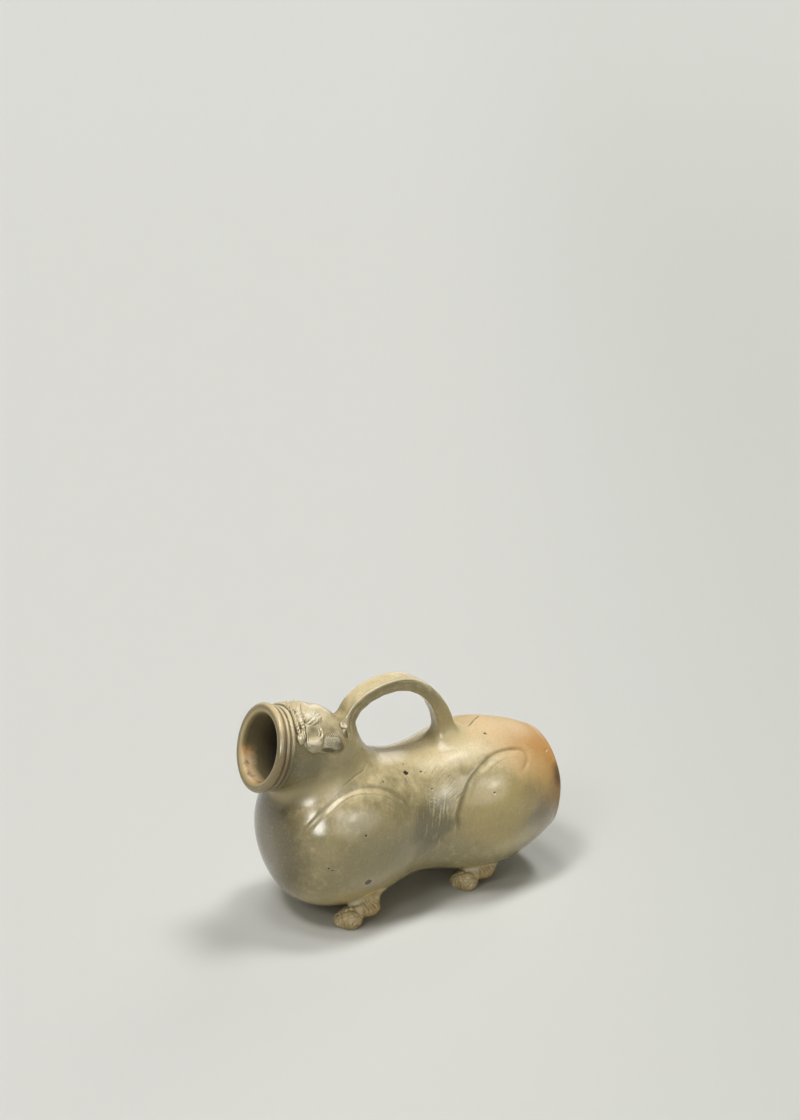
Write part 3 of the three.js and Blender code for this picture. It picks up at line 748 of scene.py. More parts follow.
def leg_parts(x, y, z, paw):
    """The paw, and what is behind it."""
    x, y = np.abs(x) - paw[0], y - paw[1]
    instep = taper(x, y, z, (0, 5, 11), (0.3, 14, 13.5), 6.2, 6.4)
    slant = y + 0.55 * (z - 10)
    bent = 1.3 * np.sin(0.8 * z + 0.7 * x) + 0.8 * np.sin(0.6 * y)
    pleats = 0.28 * np.cos(2 * np.pi * slant / 3.1 + bent) * soft_step(5.5, 8.0, y) * soft_step(19, 15, y)
    heel = egg(x, y - 15.6, z - 11.8, (6.2, 7.0, 5.4))
    shank = taper(x, y, z, (0.4, 14.5, 15), (-8.0, 19.0, 46.0), 6.6, 13.5)
    rear = flow(flow(instep, heel, 3.5), shank, 6.0) + pleats * soft_step(24, 18, z)
    return paw_ball(x, y, z), rear + 0.25 * np.sin(0.8 * z + 0.5 * y) * np.sin(0.7 * y + 0.6 * x)


def with_leg(skin, x, y, z, paw):
    ball, rear = leg_parts(x, y, z, paw)
    return flow(flow(skin, rear, 5.0), ball, 1.3)


print("forepaw at", FOREPAW, "hind paw at", HINDPAW)

# %% [markdown]
# ## What lies on what
# A luted piece covers its support with a feather edge. Each layer below is the jug with one more piece
# on it. A piece is then what its layer adds: inside the new skin, above the old one less a thin root,
# and only where the two skins differ.

# %% Layers of clay
LAYERS = {
    "crown_pad": 3.0, "nose": 1.2, "lip": 0.6, "brow": 0.7, "eyelid": 0.6, "eyeball": 0.5, "ear": 0.7,
    "handle": 7.0, "rivet_pellet": 0.9,
}
LAST_LAYER, REAR_FOOT = "rivet_pellet", 6.0


def head_layers(x, y, z, last):
    """The skins of the jug before a layer and with it. Layers flow together over their reach."""
    before = belly(x, y, z)
    skin = flow(before, neck(x, y, z), SADDLE)
    if last == "mouth_collar":
        return before, skin
    u, v, out = on_head(x, y, z)
    for layer, reach in LAYERS.items():
        before = skin
        if layer == "handle":
            piece, reach = handle(x, y, z), reach + REAR_FOOT * soft_step(4, 30, y)
        else:
            piece = out - HEIGHTS[layer](u, v)
        skin = flow(skin, piece, reach)
        if layer == last:
            return before, skin


def leg_layers(x, y, z, paw):
    skin = belly(x, y, z)
    return skin, with_leg(skin, x, y, z, paw)


def whole(x, y, z):
    """The skin of the finished jug. Only places near the head or the legs are asked about those."""
    skin = belly(x, y, z)
    head, foot = (z > 84) & (y < 66), z < 50
    skin[head] = head_layers(x[head], y[head], z[head], LAST_LAYER)[1]
    for paw in (FOREPAW, HINDPAW):
        skin[foot] = with_leg(skin[foot], x[foot], y[foot], z[foot], paw)
    return skin


print("layers on the belly and the neck:", ", ".join(LAYERS))

# %% [markdown]
# ## From fields to meshes
# A field becomes a mesh on a fine grid: each cell that the skin passes through gets one point, and
# each grid edge that the skin crosses gets a face between its four cells. Only blocks of cells near
# the skin are looked at. The points are then relaxed a little and put back on the skin.

# %% Skin of a field
BLOCK = 8
EDGES = [(a, b) for a in range(8) for b in range(a + 1, 8) if bin(a ^ b).count("1") == 1]
CORNERS = np.array([[(c >> 2) & 1, (c >> 1) & 1, c & 1] for c in range(8)])


def skin_of(field, low, high, step):
    """Points and four-sided faces of the skin of a field inside a box."""
    low = np.asarray(low, float)
    blocks = np.ceil((np.asarray(high) - low) / (step * BLOCK)).astype(int)
    spots = np.stack(np.meshgrid(*[np.arange(n) for n in blocks], indexing="ij"), -1).reshape(-1, 3)
    middle = low + (spots + 0.5) * BLOCK * step
    spots = spots[np.abs(field(*middle.T)) < 2.0 * BLOCK * step]
    ticks = np.stack(np.meshgrid(*[np.arange(BLOCK + 1)] * 3, indexing="ij"), -1).reshape(-1, 3)
    stride = np.array([blocks[1] * blocks[2] * BLOCK**2, blocks[2] * BLOCK, 1])
    points, names, faces = [], [], []
    for chunk in np.array_split(spots, max(1, len(spots) // 500)):
        grid = (chunk[:, None] * BLOCK + ticks).reshape(-1, 3)
        value = field(*(low + grid * step).T).reshape(len(chunk), *[BLOCK + 1] * 3)
        corner = [
            value[:, c[0] : BLOCK + c[0], c[1] : BLOCK + c[1], c[2] : BLOCK + c[2]] for c in CORNERS
        ]
        count = sum((c < 0).astype(np.int8) for c in corner)
        which = np.nonzero((count > 0) & (count < 8))
        cell = chunk[which[0]] * BLOCK + np.stack(which[1:], 1)
        corner = np.stack([c[which] for c in corner], 1)
        total, hits = np.zeros((len(cell), 3)), np.zeros(len(cell))
        for a, b in EDGES:
            crossed = (corner[:, a] < 0) != (corner[:, b] < 0)
            share = np.where(crossed, corner[:, a] / np.where(crossed, corner[:, a] - corner[:, b], 1), 0)
            total += np.where(crossed[:, None], CORNERS[a] + share[:, None] * (CORNERS[b] - CORNERS[a]), 0)
            hits += crossed
        points.append(low + (cell + total / hits[:, None]) * step)
        name = cell @ stride
        names.append(name)
        for axis, far in enumerate((4, 2, 1)):
            crossed = (corner[:, 0] < 0) != (corner[:, far] < 0)
            one, two = stride[(axis + 1) % 3], stride[(axis + 2) % 3]
            n = name[crossed]
            loop = np.stack([n, n - one, n - one - two, n - two], 1)
            faces.append(np.where((corner[crossed, 0] < 0)[:, None], loop, loop[:, ::-1]))
    names = np.concatenate(names)
    order = np.argsort(names)
    faces = np.searchsorted(names[order], np.concatenate(faces))
    return np.concatenate(points)[order], faces


def slope_of(field, points, reach):
    """The direction in which a field grows, and its steepness."""
    change = []
    for axis in range(3):
        shift = np.zeros(3)
        shift[axis] = reach
        change.append((field(*(points + shift).T) - field(*(points - shift).T)) / (2 * reach))
    change = np.stack(change, 1)
    steep = np.linalg.norm(change, axis=1, keepdims=True)
    return change / np.maximum(steep, 1e-9), steep[:, 0]


def settle(points, faces, field, reach, rounds):
    """Relaxes points among their neighbours and puts them back on the skin."""
    starts, ends = faces.ravel(), np.roll(faces, -1, 1).ravel()
    count = len(points)
    near = (np.bincount(starts, minlength=count) + np.bincount(ends, minlength=count))[:, None]
    for _ in range(rounds):
        total = [
            np.bincount(starts, points[ends, k], count) + np.bincount(ends, points[starts, k], count)
            for k in range(3)
        ]
        points = points + 0.5 * (np.stack(total, 1) / near - points)
        for _ in range(2):
            way, steep = slope_of(field, points, reach)
            step = np.clip(field(*points.T) / np.maximum(steep, 0.3), -2 * reach, 2 * reach)
            points = points - way * step[:, None]
    return points


print("a cell has", len(EDGES), "edges, a block", BLOCK**3, "cells")

# %% [markdown]
# ## Meshes as objects
# Four numbers are kept on each point for the glaze: how hollow the place is, where glaze pools and
# darkens, with painted shade added at the face's dark patches, along the carved lines and at the
# flake's edge; how ridged, where glaze is thinned and pale, with painted highlights added on the face;
# where the clay is bare; and where warm clay shows through. Normals come from the field of the visible
# skin, so that a feather edge shades as one with what it lies on.

# %% Marks for the glaze
WARM_PATCHES = [
    ((20.0, 0.0), (7.0, 7.0), 0.35), ((25.0, 10.0), (2.6, 3.4), 0.5), ((50.5, 31.8), (5.2, 3.6), 0.7),
    ((45.0, 29.0), (11.0, 8.5), 0.75), ((57.4, 22.4), (3.0, 4.0), 0.9), ((16.8, 16.5), (1.8, 2.0), 0.6),
    ((53.0, 6.0), (5.0, 8.0), 0.6),
]
# Dark patches on the face: brown stain, and painted shade in the upper part of the eye, along the ear's lower
# edge and on the knob below the pellet.
STAIN_AND_SHADE_PATCHES = [
    ((57.4, 22.4), (3.0, 4.0), 0.4), ((51.5, 33.0), (6.5, 5.0), 0.26), ((41.0, 36.0), (8.0, 2.4), 0.34),
    ((28.6, 22.0), (4.6, 3.0), 0.2), ((59.0, 9.0), (2.0, 8.0), 0.2), ((45.0, 29.0), (11.5, 8.5), 0.2),
]
# Painted highlights: pale patches on the brow, the lip, the lower lid of the eye and the pellet, where the
# raised clay catches the light.
HIGHLIGHT_PATCHES = [
    ((29.6, 12.0), (8.0, 6.0), 0.3), ((20.0, 12.0), (3.5, 9.0), 0.2), ((28.0, 31.5), (7.0, 2.6), 0.3),
    ((56.9, 14.6), (4.0, 4.0), 0.3),
]


def face_chart(patches):
    chart = Chart(FACE_LOW, FACE_HIGH, 0.5)
    chart.fill(np.zeros(chart.u.shape))
    for centre, size, share in patches:
        patch = share * soft_step(1.15, 0.5, mound(chart.u, chart.v, centre, size))
        chart.values = np.maximum(chart.values, patch)
    return chart


warm_chart, stain_and_shade_chart, highlight_chart = map(face_chart, (WARM_PATCHES, STAIN_AND_SHADE_PATCHES, HIGHLIGHT_PATCHES))


def warmth(x, y, z):
    """Where warm clay shows through: on parts of the face and at the wrists."""
    u, v, out = on_head(x, y, z)
    warm = warm_chart(u, v) * soft_step(-4, -1, out)
    for paw in (FOREPAW, HINDPAW):
        behind = y - paw[1]
        wrist = soft_step(4, 8, behind) * soft_step(24, 17, behind) * soft_step(22, 16, z)
        warm = np.maximum(warm, 0.5 * wrist)
    return warm


def hollow_and_ridge(points, normals, reach):
    """How far the finished skin rises in front of each point, and falls away behind it."""
    hollow = 1 - whole(*(points + normals * reach).T) / reach
    ridge = 1 + whole(*(points - normals * reach).T) / reach
    return np.clip(hollow, 0, 1), np.clip(ridge, 0, 1)


def marks_for(points, normals, bare):
    fine = hollow_and_ridge(points, normals, 0.9)
    broad = hollow_and_ridge(points, normals, 3.0)
    u, v, out = on_head(*points.T)
    outside = soft_step(-4, -1, out)
    # The dark patches add stain and painted shade to the darkening of hollows.
    dark = stain_and_shade_chart(u, v) * outside
    pool_and_shade = np.maximum(0.6 * fine[0] + 0.4 * broad[0], dark)
    # The painted highlights of the face join the pale of glaze thinned over ridges.
    thin_and_highlight = np.maximum(fine[1] * np.clip(1 - 2.4 * dark, 0, 1), highlight_chart(u, v) * outside)
    return {"pool_and_shade": pool_and_shade, "thin_and_highlight": thin_and_highlight, "bare": bare, "warm": warmth(*points.T)}


print("marks kept on each point: pool, thin, bare, warm;", len(WARM_PATCHES), "warm patches on the face")

# %% Make a piece
PIECES = {}


def make_piece(node, points, faces, normals, marks):
    """An object from points in millimetres, with its normals and its marks for the glaze."""
    mesh = bpy.data.meshes.new(node + "_glazed")
    mesh.from_pydata(points * MM, [], faces.tolist() if hasattr(faces, "tolist") else faces)
    mesh.validate()
    for mark, values in marks.items():
        layer = mesh.attributes.new(mark, "FLOAT", "POINT")
        layer.data.foreach_set("value", np.asarray(values, np.float32))
    mesh.shade_smooth()
    mesh.normals_split_custom_set_from_vertices(normals)
    piece = bpy.data.objects.new(node + "_glazed", mesh)
    bpy.context.scene.collection.objects.link(piece)
    PIECES[node] = piece
    print(piece.name, len(mesh.polygons), "faces")


# %% [markdown]
# ## The two halves of the belly
# The belly is large and smooth, so a grid in rows round the jug carries it with fewer faces than a
# grid of cells would, and it can be closer where the carved lines run. Each half is one closed wall:
# out along the profile, over the rim at the waist and back along the inside.

# %% Belly walls
FINE_ROW, ROW, LONG_ROW, INNER_ROW = 0.6, 1.05, 1.6, 4.5
TOP_DEGREES, FINE_DEGREES, COARSE_DEGREES = 0.7, 0.5, 1.05
half = np.concatenate(
    [np.arange(0, 28, TOP_DEGREES), np.arange(28, 76, FINE_DEGREES), np.arange(76, 180, COARSE_DEGREES)]
)
TURNS = np.radians(np.concatenate([half, 360 - half[::-1][:-1]]))


def inner_wall(from_y, to_y):
    """The inside of the wall between two places, with long rows because nobody sees it close."""
    line = evenly(BELLY_PROFILE, INNER_ROW, 0.0)
    along = np.gradient(line, axis=0)
    along /= np.linalg.norm(along, axis=1)[:, None]
    inner = line + np.stack([along[:, 1], -along[:, 0]], 1) * WALL
    keep = (inner[:, 0] > from_y) & (inner[:, 0] < to_y) & (inner[:, 1] > 3)
    return inner[keep]


def rolled_faces(rings, count):
    """Faces between rings of points, and two fans to the last two points."""
    here = np.arange(count)
    after = np.roll(here, -1)
    faces = []
    for ring in range(rings - 1):
        a, b = ring * count, (ring + 1) * count
        faces += np.stack([a + here, a + after, b + after, b + here], 1).tolist()
    first, end = rings * count, (rings - 1) * count
    faces += [[first, int(b), int(a)] for a, b in zip(here, after)]
    faces += [[first + 1, int(end + a), int(end + b)] for a, b in zip(here, after)]
    return faces


def turned(profile, turns):
    """Places along an axis, sideways and up from it, for a profile that starts and ends on the axis."""
    rings = profile[1:-1]
    along = np.append(np.repeat(rings[:, 0], len(turns)), [profile[0, 0], profile[-1, 0]])
    side = np.append(np.outer(rings[:, 1], np.sin(turns)).ravel(), [0, 0])
    up = np.append(np.outer(rings[:, 1], np.cos(turns)).ravel(), [0, 0])
    return along, side, up, rolled_faces(len(rings), len(turns))


def rows_of(profile):
    """Rows along the profile, close where the thigh's line runs round the jug and long on the disc."""
    walked = np.concatenate([[0], np.cumsum(np.hypot(*np.diff(profile, axis=0).T))])
    middle = (profile[1:] + profile[:-1]) / 2
    row = np.where((middle[:, 0] > 18) & (middle[:, 0] < 78), FINE_ROW, ROW)
    row = np.where((middle[:, 0] > TAIL_Y - 1) & (middle[:, 1] < 34), LONG_ROW, row)
    count = np.concatenate([[0], np.cumsum(np.diff(walked) / row)])
    places = np.interp(np.linspace(0, count[-1], int(count[-1])), count, walked)
    return np.stack([np.interp(places, walked, profile[:, k]) for k in range(2)], 1)


outer = rows_of(BELLY_PROFILE)
fore_outer = outer[outer[:, 0] < WAIST_Y - 0.4]
hind_outer = outer[outer[:, 0] > WAIST_Y + 0.4]
rim = np.array([[WAIST_Y, WAIST_RADIUS], [WAIST_Y, WAIST_RADIUS - WALL]])
fore_inner = inner_wall(POLE_Y + WALL - 1, WAIST_Y - 1)
hind_inner = inner_wall(WAIST_Y + 1, TAIL_Y - 8)
floor_of_bowl = [[TAIL_Y - 8, 0.0], [TAIL_Y - 8, hind_inner[-1, 1] - 1]]
WALLS = {
    "fore_body": np.concatenate([fore_outer, rim, fore_inner[::-1], [[POLE_Y + WALL, 0.0]]]),
    "hind_body": np.concatenate([floor_of_bowl, hind_inner[::-1], rim[::-1], hind_outer]),
}
print("points in the profile of each wall:", [len(profile) for profile in WALLS.values()])

# %% [markdown]
# The fore half has the hole that the neck's bore goes through. A boolean cut with the turned form of
# the bore makes it, and only then do the points get their normals and marks.

# %% Cut the bore and finish the halves
def plain_object(name, points, faces):
    mesh = bpy.data.meshes.new(name)
    mesh.from_pydata(points * MM, [], faces)
    thing = bpy.data.objects.new(name, mesh)
    bpy.context.scene.collection.objects.link(thing)
    return thing


def bored(points, faces):
    """A wall with the bore cut out of it, as points and faces."""
    wall = plain_object("wall", points, faces)
    sides = np.arange(96) * 2 * np.pi / 96
    along, side, up, rolled = turned(evenly(bore_profile, 2.0, 0.0), sides)
    y = MOUTH[1] + along * math.cos(TILT) + up * math.sin(TILT)
    z = MOUTH[2] - along * math.sin(TILT) + up * math.cos(TILT)
    tool = plain_object("bore", np.stack([side, y, z], 1), rolled)
    step = wall.modifiers.new("bore", "BOOLEAN")
    step.operation, step.solver, step.object = "DIFFERENCE", "EXACT", tool
    made = wall.evaluated_get(bpy.context.evaluated_depsgraph_get()).to_mesh()
    points = np.array([v.co for v in made.vertices]) / MM
    faces = [list(face.vertices) for face in made.polygons]
    bpy.data.objects.remove(wall)
    bpy.data.objects.remove(tool)
    return points, faces


for node, profile in WALLS.items():
    along, side, up, faces = turned(profile, TURNS)
    points = np.stack([side, along, AXIS_Z + up], 1)
    outside = np.nonzero(belly_form(along, np.hypot(side, up)) > -2.5)[0]
    at_waist = outside[np.abs(points[outside, 1] - WAIST_Y) < 0.01]
    for _ in range(3):
        way, _ = slope_of(belly, points[outside], 0.3)
        points[outside] -= way * belly(*points[outside].T)[:, None]
    points[at_waist, 1] = WAIST_Y
    if node == "fore_body":
        points, faces = bored(points, faces)
    normals, _ = slope_of(belly, points, 0.3)
    inner = belly(*points.T) < -0.5
    normals[inner] *= -1
    marks = marks_for(points, normals, inner.astype(float))
    turn = np.arctan2(points[:, 0], points[:, 2] - AXIS_Z)
    # Along the carved lines: pooled glaze and painted shade.
    marks["pool_and_shade"] = np.maximum(marks["pool_and_shade"], 0.3 * groove_pool_and_shade(points[:, 1], turn * FLANK_RADIUS))
    broken = flake(points[:, 1], turn * FLANK_RADIUS)
    crisp = crisp_side(turn * FLANK_RADIUS) * (points[:, 2] > AXIS_Z)
    # A painted shadow along the flake's crisp edge.
    marks["pool_and_shade"] = np.maximum(marks["pool_and_shade"], 0.8 * crisp * hump(broken, 0.9))
    marks["warm"] = np.maximum(marks["warm"], 0.3 * soft_step(0, 1.5, broken))
    marks["thin_and_highlight"] = np.maximum(marks["thin_and_highlight"], 0.2 * soft_step(0.8, 3.0, broken))
    make_piece(node, points, faces, normals, marks)

# %% [markdown]
# ## The pieces luted on
# Each piece is meshed inside its node's box in the frame, with room for its feather edge. A left piece
# is made once and its mirror image is the right one.

# %% Luted pieces
FEATHER = 0.02


def luted(layers, root, extra):
    """The field of one piece: what its layer adds to the one before."""

    def field(x, y, z):
        before, skin = layers(x, y, z)
        solid = np.maximum(np.maximum(skin, -before - root), FEATHER - (before - skin))
        return extra(x, y, z, solid)

    return field


def node_box(node, room):
    low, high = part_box(node)
    return np.array(low) / MM - room, np.array(high) / MM + room


def mesh_piece(node, field, visible, box, step, bare=None, mirror=None):
    points, faces = skin_of(field, *box, step)
    points = settle(points, faces, field, 0.4 * step, 2)
    normals, _ = slope_of(field, points, 0.4 * step)
    shown = np.abs(visible(*points.T)) < 0.3
    normals[shown], _ = slope_of(visible, points[shown], 0.5 * step)
    marks = marks_for(points, normals, np.zeros(len(points)) if bare is None else bare(*points.T))
    make_piece(node, points, faces, normals, marks)
    if mirror:
        flip = np.array([-1, 1, 1])
        make_piece(mirror, points * flip, faces[:, ::-1], normals * flip, marks)


def collar_layers(x, y, z):
    return head_layers(x, y, z, "mouth_collar")


def with_bore(x, y, z, solid):
    return cut(solid, -bore(x, y, z), 1.2)


def in_the_bore(x, y, z):
    _, along, _ = in_neck(x, y, z)
    return soft_step(1.0, 0.0, bore(x, y, z)) * soft_step(0.7, 2.2, along)


mesh_piece(
    "mouth_collar",
    luted(collar_layers, 1.6, with_bore),
    lambda x, y, z: with_bore(x, y, z, collar_layers(x, y, z)[1]),
    node_box("mouth_collar", np.array([24, 36, 16])),
    0.75,
    bare=in_the_bore,
)

# %% Face pieces and handle
STEPS = {"crown_pad": 0.42, "handle": 0.44, "ear": 0.28}
ROOM = {"crown_pad": 16.0, "handle": 19.0}
ALONE = ("crown_pad", "nose", "handle")


def as_it_is(x, y, z, solid):
    return solid


def left_half(x, y, z, solid):
    return np.maximum(solid, 0.3 - x)


for layer in LAYERS:
    layers = lambda x, y, z, layer=layer: head_layers(x, y, z, layer)
    visible = lambda x, y, z, layer=layer: head_layers(x, y, z, layer)[1]
    node, mirror, extra = layer, None, as_it_is
    if layer not in ALONE:
        node, mirror, extra = layer + "_left", layer + "_right", left_half
    box = node_box(node, ROOM.get(layer, 10.0))
    mesh_piece(node, luted(layers, 1.0, extra), visible, box, STEPS.get(layer, 0.32), mirror=mirror)

# %% Legs
def on_floor(x, y, z, solid):
    return np.maximum(solid, -z)


for leg, paw in (("foreleg", FOREPAW), ("hindleg", HINDPAW)):
    layers = lambda x, y, z, paw=paw: leg_layers(x, y, z, paw)
    visible = lambda x, y, z, paw=paw: leg_layers(x, y, z, paw)[1]
    low, high = node_box(leg + "_left", 10.0)
    low[2] = -1.0
    mesh_piece(leg + "_left", luted(layers, 1.2, on_floor), visible, (low, high), 0.42, mirror=leg + "_right")

# %% [markdown]
# ## Sums on sockets
# A glaze is worked out by nodes, and most of them are plain sums. Written node by node they are hard to
# read, so one small class stands for an output of a node. Python's own signs between such outputs add
# Math nodes, and one method adds a node of any other kind.

# %% A wire from a node
class Wire:
    """One output of a node. Sums on wires add Math nodes."""

    def __init__(self, socket):
        self.socket = socket

    def node(self, kind, settings, sockets, output=0):
        """The wire from a new node of this kind: its settings first, then its sockets."""
        tree = self.socket.id_data
        made = tree.nodes.new(kind)
        for name, value in settings.items():
            setattr(made, name, value)
        for name, value in sockets.items():
            if isinstance(value, Wire):
                tree.links.new(value.socket, made.inputs[name])
            else:
                made.inputs[name].default_value = value
        return Wire(made.outputs[output])

    def maths(self, operation, first, second):
        return self.node("ShaderNodeMath", {"operation": operation}, {0: first, 1: second})

    def __add__(self, other):
        return self.maths("ADD", self, other)

    def __radd__(self, other):
        return self.maths("ADD", other, self)

    def __sub__(self, other):
        return self.maths("SUBTRACT", self, other)

    def __rsub__(self, other):
        return self.maths("SUBTRACT", other, self)

    def __mul__(self, other):
        return self.maths("MULTIPLY", self, other)

    def __rmul__(self, other):
        return self.maths("MULTIPLY", other, self)

    def __abs__(self):
        return self.maths("ABSOLUTE", self, 0.0)


print("signs that add Math nodes: + - * and abs")

# %% Other nodes that a glaze needs
def rise(value, low, high):
    """0 where the value is below low, 1 above high and smooth between. Low may be the larger."""
    settings = {"interpolation_type": "SMOOTHSTEP"}
    return value.node("ShaderNodeMapRange", settings, {"Value": value, "From Min": low, "From Max": high})


def larger(first, second):
    return first.maths("MAXIMUM", first, second)


def blended(share, first, second):
    """One colour over another by a share."""
    return share.node("ShaderNodeMix", {"data_type": "RGBA"}, {0: share, 6: first, 7: second}, 2)


def vectors(operation, first, second, output="Vector"):
    return first.node("ShaderNodeVectorMath", {"operation": operation}, {0: first, 1: second}, output)


def clouds(place, size, detail=2.0, rough=0.5, output=0):
    """Soft noise whose clouds are about this many millimetres across."""
    sockets = {"Vector": place, "Scale": 1 / size, "Detail": detail, "Roughness": rough}
    return place.node("ShaderNodeTexNoise", {}, sockets, output)


def cells(place, size, feature, output):
    """Cells of about this many millimetres."""
    sockets = {"Vector": place, "Scale": 1 / size}
    return place.node("ShaderNodeTexVoronoi", {"feature": feature}, sockets, output)


def mark_of(place, name):
    """A number that is kept on the points of the mesh."""
    return place.node("ShaderNodeAttribute", {"attribute_name": name}, {}, "Fac")


print("helpers: rise, larger, blended, vectors, clouds, cells, mark_of")

# %% [markdown]
# ## The glaze's colours
# Celadon gets its green from a little iron fired with little air. Where it lies thick it is dark, where
# it is thinned over an edge it is pale, and where air reached it, at the tail, it turned tan and orange.
# Some of the dark and pale here is painted shade and painted highlight, named so where it is set.
# So there is no one colour. The list below is read off the photograph and set as light that the
# surface gives back. Large tints are ovals on the unrolled flank with edges that a noise frays.

# %% Palette and tints
CELADON, DEEP, PALE = (0.405, 0.333, 0.162, 1), (0.30, 0.25, 0.118, 1), (0.56, 0.46, 0.235, 1)
POOLED_AND_SHADE, THIN = (0.115, 0.092, 0.036, 1), (0.68, 0.565, 0.31, 1)
ASH_AND_TOP_LIGHT, TAN, PEACH = (0.80, 0.655, 0.37, 1), (0.66, 0.42, 0.145, 1), (0.84, 0.61, 0.33, 1)
ORANGE, SCORCH = (0.61, 0.29, 0.065, 1), (0.15, 0.07, 0.018, 1)
BARE_CLAY, INSIDE_GLAZE_AND_SHADE = (0.92, 0.67, 0.37, 1), (0.20, 0.158, 0.072, 1)
WARM_CLAY, IRON = (0.44, 0.265, 0.10, 1), (0.028, 0.020, 0.013, 1)
CHEST_END, HANDLE_TOP_ASH_AND_SHEEN = (0.15, 0.12, 0.052, 1), (0.92, 0.76, 0.45, 1)
FOOT_PALE, BROWN_EDGE = (0.62, 0.49, 0.235, 1), (0.33, 0.17, 0.06, 1)
PAW_DARK, PAW_LIGHT = (0.38, 0.27, 0.10, 1), (0.64, 0.50, 0.22, 1)
RELIEF_PALE, RIDGE_AND_HIGHLIGHT = (0.80, 0.69, 0.44, 1), (0.92, 0.84, 0.63, 1)
SPOT_RING, LIP_TAN, RIM_PALE = (0.50, 0.37, 0.20, 1), (0.56, 0.39, 0.17, 1), (0.66, 0.52, 0.27, 1)
BURNT_CLAY, THROAT_SHADE = (0.66, 0.35, 0.12, 1), (0.045, 0.034, 0.015, 1)

TINTS = [
    ((0.315, 0.268, 0.142, 1), 0.7, (-46, 94), (30, 27)),
    ((0.44, 0.35, 0.155, 1), 0.75, (-52, 142), (60, 22)),
    ((0.20, 0.167, 0.08, 1), 0.75, (-86, 25), (18, 7)),
    ((0.185, 0.163, 0.09, 1), 0.9, (4, 82), (19, 24)),
    ((0.54, 0.42, 0.172, 1), 0.75, (60, 82), (32, 36)),
    ((0.27, 0.235, 0.13, 1), 0.6, (88, 97), (9, 9)),
    ((0.22, 0.14, 0.058, 1), 0.85, (105, 95), (17, 28)),
    ((0.42, 0.29, 0.10, 1), 0.6, (92, 76), (13, 9)),
]
print(len(TINTS), "tints on each flank")

# %% [markdown]
# ## Marks in the glaze
# Grit that melted left iron spots, some with a pale ring. Somebody's tool left slanting scratches at the
# waist, and there the glaze ran down in pale rivulets. They are painted as well as dented, because most
# of them are finer than the mesh. Each is a spot or a stroke at its place along the jug and its angle
# from the top; the far flank, which the photograph doesn't show, has a few of its own.

# %% Spots, scratches and rivulets
SPOTS = [
    (-5.0, 31.0, 2.0), (-8.0, 37.0, 0.7), (-7.5, 38.8, 0.6), (7.3, 32.3, 0.7), (-3.5, 21.5, 0.6),
    (-28.6, 38.0, 0.8), (-54.1, 72.6, 1.0), (-81.6, 94.0, 0.9), (-79.6, 95.5, 0.6), (-51.9, 111.0, 2.7),
    (54.0, 66.0, 0.6), (65.9, 17.7, 1.0), (10.5, 50.0, 0.8), (-36.0, -84.0, 1.6), (12.0, -58.0, 0.9),
    (71.0, -97.0, 1.9), (-77.0, -58.0, 0.8), (44.0, -33.0, 0.8),
]
SCRATCHES = [
    ((8.0, 36.5), (15.0, 30.0), 0.25), ((13.5, 37.5), (21.0, 31.0), 0.3), ((17.5, 41.0), (26.5, 34.5), 0.3),
    ((15.5, 46.0), (24.5, 39.5), 0.25), ((18.0, 49.0), (27.5, 42.5), 0.35), ((20.0, 54.0), (30.0, 47.0), 0.3),
    ((19.0, 59.5), (29.0, 53.0), 0.35), ((21.0, 63.5), (31.0, 56.5), 0.3), ((24.5, 65.0), (33.0, 59.5), 0.45),
    ((12.0, 43.5), (17.0, 38.5), 0.25), ((-2.0, -50.0), (6.0, -45.0), 0.35),
    ((3.0, -62.0), (12.0, -56.0), 0.4),
]
RUNS_AT, RUNS_SIZE = (15.0, 78.0), (17.0, 27.0)
DABS_AT, DABS_SIZE = (10.5, 61.0), (6.5, 13.0)


def on_flat(y, degrees):
    return (y, math.radians(degrees) * FLANK_RADIUS, 0.0)


def spot(flat, y, degrees, size):
    gap = vectors("DISTANCE", flat, on_flat(y, degrees), "Value")
    return rise(gap, 1.15 * size, 0.75 * size)


def stroke(flat, start, end):
    """How far across a stroke a place is, and a share that is 1 along it and fades at its ends."""
    start, end = Vector(on_flat(*start)), Vector(on_flat(*end))
    way, length = (end - start).normalized(), (end - start).length
    middle = vectors("SUBTRACT", flat, (start + end) / 2)
    along = abs(vectors("DOT_PRODUCT", middle, way, "Value"))
    across = vectors("DOT_PRODUCT", middle, (-way.y, way.x, 0), "Value")
    return across, rise(along, 0.55 * length, 0.3 * length)


def oval(flat, centre, size):
    """1 inside an oval on the flank, fading to 0 round it."""
    away = vectors("DIVIDE", vectors("SUBTRACT", flat, on_flat(*centre)), (*size, 1.0))
    return rise(vectors("LENGTH", away, (0, 0, 0), "Value"), 1.35, 0.45)


print(len(SPOTS), "spots,", len(SCRATCHES), "scratches")

# %% [markdown]
# ## The glaze itself
# All four finishes are one glaze on one jug, so they share one recipe that reads its place in the jug's
# own millimetres: no joint shows between pieces. From large to small it has tints on the flanks, an ashy
# cream on what faces up that is partly painted light, the scorched tail, clouds, runs, specks, fine
# crazing and iron dust. Roughness and bump come from the same parts. The finishes differ in how much
# marks them and in gloss.

